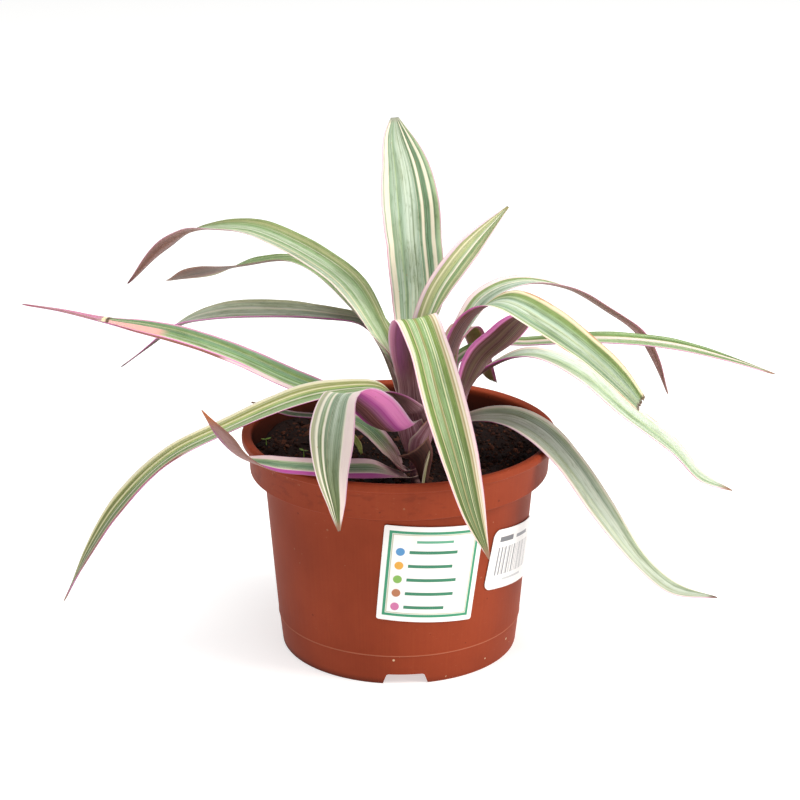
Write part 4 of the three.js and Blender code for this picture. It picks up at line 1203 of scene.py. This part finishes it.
# %% Make the pot
POT_SIDES = 192
POT_CREASE = math.radians(38)
pot = show(spun_mesh("pot_moulded", pot_profile(), POT_SIDES), "pot_moulded")
cutters = show(cutters_mesh(), "pot_cutters")
cut = pot.modifiers.new("cut", "BOOLEAN")
cut.operation = "DIFFERENCE"
cut.solver = "EXACT"
cut.object = cutters
seen = bpy.context.evaluated_depsgraph_get()
cut_mesh = bpy.data.meshes.new_from_object(pot.evaluated_get(seen), depsgraph=seen)
pot.modifiers.remove(cut)
pot.data = cut_mesh
bpy.data.objects.remove(cutters)
mark_inside(pot.data)
pot.data.materials.clear()
pot.data.materials.append(pot_finish())
pot.data.shade_smooth()
pot.data.set_sharp_from_angle(angle=POT_CREASE)
dress(pot, "terracotta_plastic", "pot_shell")

# %% [markdown]
# ## The labels
# Both labels are thin paper with glue on the back, so each one is a fine grid wrapped on the
# body's cone, turned a few degrees because the hand that stuck it on was quick. Their print is
# procedural and generic: a double border with ruled lines and dots on one, and plain bars on
# the other. The grid carries a flat map, which the print reads in millimetres, so that it is
# laid out as on a drawing board.

# %% Label shapes
SQUARE_LABEL = {"width": 44, "height": 45.5, "corner": 1.0, "turn": 13.7, "middle": 53.4, "tilt": -5.5}
ROUND_LABEL = {"width": 40, "height": 28, "corner": 3.5, "turn": 61.5, "middle": 51, "tilt": -9.5}
LABEL_OFF_WALL = 0.3
LABEL_THICK = 0.3
CORNER_PEEL = 0.25
LABEL_COLUMNS = 60
LABEL_CREASE = math.radians(50)
CORNER_STEPS = 8
MIDDLE_ROWS = 24


def label_spot(label, u, v, lift):
    slant = math.radians(label["tilt"])
    along = u * math.cos(slant) - v * math.sin(slant)
    z = label["middle"] + u * math.sin(slant) + v * math.cos(slant)
    angle = math.radians(label["turn"]) + along / body_radius(label["middle"])
    radius = body_radius(z) + LABEL_OFF_WALL + lift
    return Vector((radius * math.sin(angle), -radius * math.cos(angle), z)) * MM


def label_rows(label):
    """The rows down a label, each one as its height and its half width: rows near a corner are shorter."""
    half, corner = label["height"] / 2, label["corner"]
    angles = [math.radians(90 * k / CORNER_STEPS) for k in range(CORNER_STEPS + 1)]
    steps = [half - corner * (1 - math.cos(angle)) for angle in angles]
    middle = [steps[-1] * (1 - 2 * k / MIDDLE_ROWS) for k in range(1, MIDDLE_ROWS)]
    rows = []
    for v in steps + middle + [-v for v in reversed(steps)]:
        into = max(0.0, abs(v) - (half - corner))
        inset = corner - math.sqrt(max(corner**2 - into**2, 0.0))
        rows.append((v, label["width"] / 2 - inset))
    return rows


def make_label(name, label, finish):
    half_u, half_v = label["width"] / 2, label["height"] / 2
    body = bmesh.new()
    flat = body.loops.layers.uv.new("print")
    layers = []
    where = {}
    for lift in (0.0, LABEL_THICK):
        layer = []
        for v, reach in label_rows(label):
            row = []
            for k in range(LABEL_COLUMNS + 1):
                u = reach * (2 * k / LABEL_COLUMNS - 1)
                peel = CORNER_PEEL * max(0.0, u / half_u) ** 8 * max(0.0, v / half_v) ** 4
                vert = body.verts.new(label_spot(label, u, v, lift + peel * lift / LABEL_THICK))
                where[vert] = (u, v)
                row.append(vert)
            layer.append(row)
        layers.append(layer)
    back, front = layers
    last_row, last = len(front) - 1, LABEL_COLUMNS
    for r in range(last_row):
        for k in range(last):
            body.faces.new((front[r][k], front[r + 1][k], front[r + 1][k + 1], front[r][k + 1]))
            body.faces.new((back[r][k], back[r][k + 1], back[r + 1][k + 1], back[r + 1][k]))
    rim = [(0, k) for k in range(last)] + [(r, last) for r in range(last_row)]
    rim += [(last_row, k) for k in range(last, 0, -1)] + [(r, 0) for r in range(last_row, 0, -1)]
    for (r, k), (s, m) in zip(rim, rim[1:] + rim[:1]):
        body.faces.new((front[r][k], front[s][m], back[s][m], back[r][k]))
    for face in body.faces:
        for loop in face.loops:
            u, v = where[loop.vert]
            loop[flat].uv = (u / label["width"] + 0.5, v / label["height"] + 0.5)
    mesh = finished_mesh(body, name, finish)
    mesh.set_sharp_from_angle(angle=LABEL_CREASE)
    return show(mesh, name)


# %% Printing on paper
BOX_SOFT, DOT_SOFT = 0.08, 0.12


def drawing_board(tree, label):
    """The label's own flat map: millimetres to the right and upwards from its middle."""
    flat = add_node(tree, "ShaderNodeUVMap", {"uv_map": "print"})
    u, v, _ = flat.node("ShaderNodeSeparateXYZ", None, {0: flat}).outputs()
    return (u - 0.5) * label["width"], (v - 0.5) * label["height"]


def printed_box(across, up, left, right, bottom, top):
    return across.between(left, right, BOX_SOFT) * up.between(bottom, top, BOX_SOFT)


def printed_dot(across, up, x, y, radius):
    distance = ((across - x) ** 2 + (up - y) ** 2).math("SQRT")
    return 1 - distance.ramp(radius - DOT_SOFT, radius + DOT_SOFT)


def paper_finish(name, label):
    finish, tree, shader = new_finish(name)
    across, up = drawing_board(tree, label)
    fibre = streaks(across * 1.6, up * 1.6, 1.0, 4.0)
    smudge = streaks(across * 0.09, up * 0.09, 4.0)
    paper = blend(fibre * 0.5, paint("f7f6f4"), paint("ece9e6"))
    paper = coats(paper, (smudge.ramp(0.5, 0.8) * 0.35, "d9cfc6"))
    feed(shader, {"Roughness": 0.38 + fibre * 0.2})
    relief(shader, fibre, 0.12, 0.05 * MM)
    return finish, shader, across, up, paper


# %% The square care label
ROW_TOP, ROW_STEP = 10.6, 6.6
DOT_X, DOT_RADIUS = -14.4, 1.9
RULE_X, RULE_HALF = -10.6, 0.75
RULES = {"4f8fc4": 21, "e0a33a": 19.5, "7fb04f": 22, "b0704a": 21.5, "c96f9e": 18}


def square_label_finish():
    label = SQUARE_LABEL
    finish, shader, across, up, paper = paper_finish("square_label_paper", label)
    half_u, half_v = label["width"] / 2, label["height"] / 2

    def frame_line(inset, thick):
        outer = printed_box(across, up, inset - half_u, half_u - inset, inset - half_v, half_v - inset)
        inner = inset + thick
        return outer - printed_box(across, up, inner - half_u, half_u - inner, inner - half_v, half_v - inner)

    ink = coats(
        paper,
        (frame_line(2.3, 1.25), "2f8f68"),
        (frame_line(3.75, 0.45), "b9bda0"),
        (printed_box(across, up, -8, 8, 15.0, 16.2), "5aa585"))
    for k, (dot, length) in enumerate(RULES.items()):
        y = ROW_TOP - k * ROW_STEP
        rule = printed_box(across, up, RULE_X, RULE_X + length, y - RULE_HALF, y + RULE_HALF)
        ink = coats(ink, (printed_dot(across, up, DOT_X, y, DOT_RADIUS), dot), (rule, "2f7d5c"))
    feed(shader, {"Base Color": ink})
    return finish


dress(make_label("label_square_printed", SQUARE_LABEL, square_label_finish()), "card", "label_square")

# %% The rounded sticker
BARS_LEFT, BARS_RIGHT = -15.5, 14


def round_label_finish():
    finish, shader, across, up, paper = paper_finish("round_label_paper", ROUND_LABEL)
    bars = coats(
        paper,
        (printed_box(across, up, BARS_LEFT, -5.5, 8.0, 10.4), "6d6f74"),
        (printed_box(across, up, -2.5, 9.5, 8.2, 9.8), "8a8c90"))
    draw = random.Random(11)
    x = BARS_LEFT
    while x < BARS_RIGHT:
        thick = draw.choice((0.35, 0.35, 0.7, 1.0))
        bars = coats(bars, (printed_box(across, up, x, x + thick, -7.5, 5.5), "85878c"))
        x += thick + draw.choice((0.45, 0.8, 1.2))
    bars = coats(bars, (printed_box(across, up, -9, 8, -10.4, -9.4) * 0.6, "a3a5a8"))
    feed(shader, {"Base Color": bars})
    return finish


dress(make_label("label_rounded_printed", ROUND_LABEL, round_label_finish()), "card", "label_rounded")

# %% [markdown]
# ## The bed of peat
# The pot is full to about a centimetre below its lip. The bed itself is one body with a lumpy
# top. Over it lie thousands of crumbs and short fibres, with lumps and bark chips among them,
# scattered by geometry nodes with fixed seeds, so that the top isn't a painted disc.

# %% Peat bed
SOIL_LUMP = 1.3
SOIL_FLAT_NEAR_STEM = 9
BED_EDGE = BAND_LOW_RADIUS - POT_WALL - 0.5 - GAP
BED_RINGS, BED_SIDES = 56, 160


def stem_distance(x, y):
    """How far a place on the peat is from the nearest stem."""
    return min(math.hypot(x - stem["foot"].x, y - stem["foot"].y) for stem in STEMS.values())


def soil_height(x, y):
    near = stem_distance(x, y)
    fade = min(1.0, max(0.0, (near - SOIL_FLAT_NEAR_STEM) / SOIL_FLAT_NEAR_STEM))
    fade = fade * fade * (3 - 2 * fade)
    waves = math.sin(x * 0.21 + 1) * math.cos(y * 0.17) + 0.6 * math.sin(x * 0.43 - y * 0.37)
    fine = noise.fractal(Vector((x * 0.35, y * 0.35, 4.2)), 1.0, 2.0, 4)
    return SOIL_LEVEL + fade * SOIL_LUMP * waves * 0.8 + fine * 0.45


def peat_bed_mesh():
    wall = [(0, FLOOR_TOP + GAP), (FOOT_RADIUS - POT_WALL - GAP, FLOOR_TOP + GAP)]
    wall += [(BODY_LOW_RADIUS - POT_WALL - GAP, BODY_LOW), (BODY_HIGH_RADIUS - POT_WALL - GAP, BODY_HIGH - 1)]
    wall += [(BODY_HIGH_RADIUS - POT_WALL + 1 - GAP, BAND_LOW + POT_WALL - 0.6 + GAP)]
    wall += [(BAND_LOW_RADIUS - POT_WALL - 0.6 - GAP, BAND_LOW + POT_WALL + 1 + GAP)]
    wall += [(BED_EDGE, SOIL_LEVEL - 1)]
    top = [(BED_EDGE * (1 - k / BED_RINGS), SOIL_LEVEL) for k in range(BED_RINGS)] + [(0, SOIL_LEVEL)]
    mesh = spun_mesh("peat_bed", wall + top, BED_SIDES)
    for vert in mesh.vertices:
        if vert.co.z > (SOIL_LEVEL - 0.01) * MM:
            vert.co.z = soil_height(vert.co.x / MM, vert.co.y / MM) * MM
    return mesh


# %% Peat finish
def peat_finish():
    finish, tree, shader = new_finish("peat_skin")
    place = object_place(tree)
    grain = cloud(place, 900.0, detail=5.0, rough=0.7)
    mixed = grain * 0.5 + cloud(place, 160.0) * 0.25 + attribute(tree, "tone") * 0.35
    skin = ramp_colour(mixed, [
        (0.2, "0d0504"), (0.42, "1e0d08"), (0.58, "34190f"), (0.72, "552f1e"), (0.88, "855a3e")])
    feed(shader, {"Base Color": skin, "Roughness": 0.75 + grain * 0.25, "Specular IOR Level": 0.25})
    relief(shader, grain, 0.9, 0.5 * MM)
    return finish


peat_skin = peat_finish()
peat_bed = show(peat_bed_mesh(), "peat_bed")
peat_bed.data.materials.append(peat_skin)
dress(peat_bed, "peat", "soil")

# %% [markdown]
# ## Crumbs, chips and fibres
# One tree scatters a small shape over the top of the bed. It takes the shape as an object, so the
# same tree lays crumbs, lumps, bark chips and fibres, each with its own density, size and seed.
# Every copy stores a tone of its own, which the finish reads, so that crumbs differ.

# %% Scatter tree
def make_scatter_tree():
    tree, inlet = new_geometry_tree("scatter_on_peat", {
        "Shape": "Object", "Density": "Float", "Smallest": "Float", "Largest": "Float",
        "Tilt": "Float", "Seed": "Int", "Finish": "Material"})
    top = inlet["Geometry"]
    spread = top.node("GeometryNodeDistributePointsOnFaces", {"distribute_method": "RANDOM"}, {
        "Mesh": top, "Density": inlet["Density"], "Seed": inlet["Seed"]})
    shape = top.node("GeometryNodeObjectInfo", None, {"Object": inlet["Shape"]}, "Geometry")
    tilt = vector(inlet["Tilt"], inlet["Tilt"], math.pi)
    turn = tilt.node("FunctionNodeRandomValue", {"data_type": "FLOAT_VECTOR"}, {
        0: tilt.node("ShaderNodeVectorMath", {"operation": "SCALE"}, {"Vector": tilt, "Scale": -1.0}),
        1: tilt, "Seed": inlet["Seed"]})
    size = tilt.node("FunctionNodeRandomValue", {"data_type": "FLOAT"}, {
        2: inlet["Smallest"], 3: inlet["Largest"], "Seed": inlet["Seed"] + 1}, 1)
    placed = spread.node("GeometryNodeInstanceOnPoints", None, {
        "Points": spread, "Instance": shape, "Rotation": turn, "Scale": size})
    tone = tilt.node("FunctionNodeRandomValue", {"data_type": "FLOAT"}, {
        2: 0.0, 3: 1.0, "Seed": inlet["Seed"] + 2}, 1)
    toned = placed.node("GeometryNodeStoreNamedAttribute", {"data_type": "FLOAT", "domain": "INSTANCE"}, {
        "Geometry": placed, "Name": "tone", "Value": tone})
    close_tree(tree, toned, inlet["Finish"])
    return tree


# %% Small shapes to scatter
FIBRE_ROWS = 7


def crumb_shape():
    body = bmesh.new()
    bmesh.ops.create_icosphere(body, subdivisions=1, radius=1)
    for vert in body.verts:
        vert.co *= 1 + 0.45 * noise.noise(vert.co * 1.7)
        vert.co.z *= 0.7
    return bpy.data.objects.new("crumb", finished_mesh(body, "crumb"))


def chip_shape():
    body = bmesh.new()
    bmesh.ops.create_cube(body, size=2)
    bmesh.ops.subdivide_edges(body, edges=body.edges, cuts=1, use_grid_fill=True)
    for vert in body.verts:
        push = noise.noise(vert.co * 1.3 + Vector((5, 2, 1)))
        vert.co = Vector((vert.co.x * 1.3, vert.co.y * 0.6, vert.co.z * 0.22)) * (1 + 0.35 * push)
    return bpy.data.objects.new("chip", finished_mesh(body, "chip", smooth=False))


def fibre_shape():
    body = bmesh.new()
    loops = []
    for k in range(FIBRE_ROWS):
        t = k / (FIBRE_ROWS - 1)
        centre = Vector((t * 6 - 3, 1.1 * math.sin(t * 3.4), 0.5 * math.sin(t * math.pi)))
        thick = 0.16 * math.sin(math.pi * min(max(t, 0.06), 0.94))
        spokes = [Vector((0, math.cos(angle), math.sin(angle))) for angle in (0, 2.1, 4.2)]
        loops.append([body.verts.new(centre + spoke * thick) for spoke in spokes])
    skin_loops(body, loops)
    return bpy.data.objects.new("fibre", finished_mesh(body, "fibre"))


# %% Lay them on the peat
CLEAR_OF_WALL, CLEAR_OF_STEM = 1.6, 5
DEEPEST_TOP = 4


def scatter_ground():
    """The part of the bed's top that crumbs may lie on: clear of the wall and of the stems."""
    ground = bmesh.new()
    ground.from_mesh(peat_bed.data)
    wrong = []
    for face in ground.faces:
        centre = face.calc_center_median() / MM
        off_axis = math.hypot(centre.x, centre.y)
        near = stem_distance(centre.x, centre.y)
        on_wall = centre.z < SOIL_LEVEL - DEEPEST_TOP or off_axis > BED_EDGE - CLEAR_OF_WALL
        if on_wall or near < CLEAR_OF_STEM:
            wrong.append(face)
    bmesh.ops.delete(ground, geom=wrong, context="FACES")
    mesh = bpy.data.meshes.new("scatter_ground")
    ground.to_mesh(mesh)
    ground.free()
    return mesh


scatter_tree = make_scatter_tree()
# Shape, pieces on a square metre, smallest and largest size in mm, greatest tilt in radians, seed.
SCATTER = {
    "peat_crumbs": (crumb_shape(), 190000.0, 0.35, 0.95, 3.0, 4),
    "peat_lumps": (crumb_shape(), 16000.0, 1.0, 2.0, 0.6, 9),
    "bark_chips": (chip_shape(), 14000.0, 0.8, 2.0, 0.5, 15),
    "peat_fibres": (fibre_shape(), 45000.0, 0.35, 1.1, 0.45, 21),
}
for heap_name, (shape, density, smallest, largest, tilt, seed) in SCATTER.items():
    inputs = {"Shape": shape, "Density": density, "Smallest": smallest * MM, "Largest": largest * MM,
              "Tilt": tilt, "Seed": seed, "Finish": peat_skin}
    heap = bake(scatter_ground(), scatter_tree, inputs, heap_name)
    dress(heap, "peat")

# %% [markdown]
# ## Studio
# The plant stands on a plain pale floor under soft light. The key light is large and comes from
# the right, which is why the pot's right side glows and its left side is a deep brick. A second
# lamp hangs overhead, and a pale world and the floor's own faint glow lift the shadows.

# %% Floor and light
FLOOR_HALF = 4.0
FLOOR_GLOW, WORLD_GLOW = 0.56, 0.4
LAMP_AIM = Vector((0, 0, 0.1))
# Place and width in metres, power in watts, and colour.
LAMPS = {
    "key_right": ((1.45, -0.45, 0.95), 0.8, 26, "fff8f0"),
    "top_soft": ((0.0, -0.25, 1.65), 1.4, 27, "ffffff"),
}


def make_floor():
    floor_mesh = bpy.data.meshes.new("floor")
    corners = [(x * FLOOR_HALF, y * FLOOR_HALF, 0) for x, y in ((-1, -1), (1, -1), (1, 1), (-1, 1))]
    floor_mesh.from_pydata(corners, [], [(0, 1, 2, 3)])
    finish, _, shader = new_finish("pale_floor")
    feed(shader, {"Base Color": paint("d2d2d1"), "Roughness": 0.9,
                  "Emission Color": paint("ffffff"), "Emission Strength": FLOOR_GLOW})
    floor_mesh.materials.append(finish)
    floor = show(floor_mesh, "floor")


def make_lamp(name, place, size, power, colour):
    lamp_data = bpy.data.lights.new(name, "AREA")
    lamp_data.size = size
    lamp_data.energy = power
    lamp_data.color = paint(colour)[:3]
    lamp = bpy.data.objects.new(name, lamp_data)
    lamp.location = place
    lamp.rotation_euler = (LAMP_AIM - lamp.location).to_track_quat("-Z", "Y").to_euler()
    bpy.context.scene.collection.objects.link(lamp)


make_floor()
for lamp_name, (place, size, power, colour) in LAMPS.items():
    make_lamp(lamp_name, place, size, power, colour)
world = bpy.data.worlds.new("pale_world")
world.use_nodes = True
background = world.node_tree.nodes["Background"]
feed(background, {"Color": paint("ffffff"), "Strength": WORLD_GLOW})
bpy.context.scene.world = world
bpy.context.scene.view_settings.view_transform = "Standard"
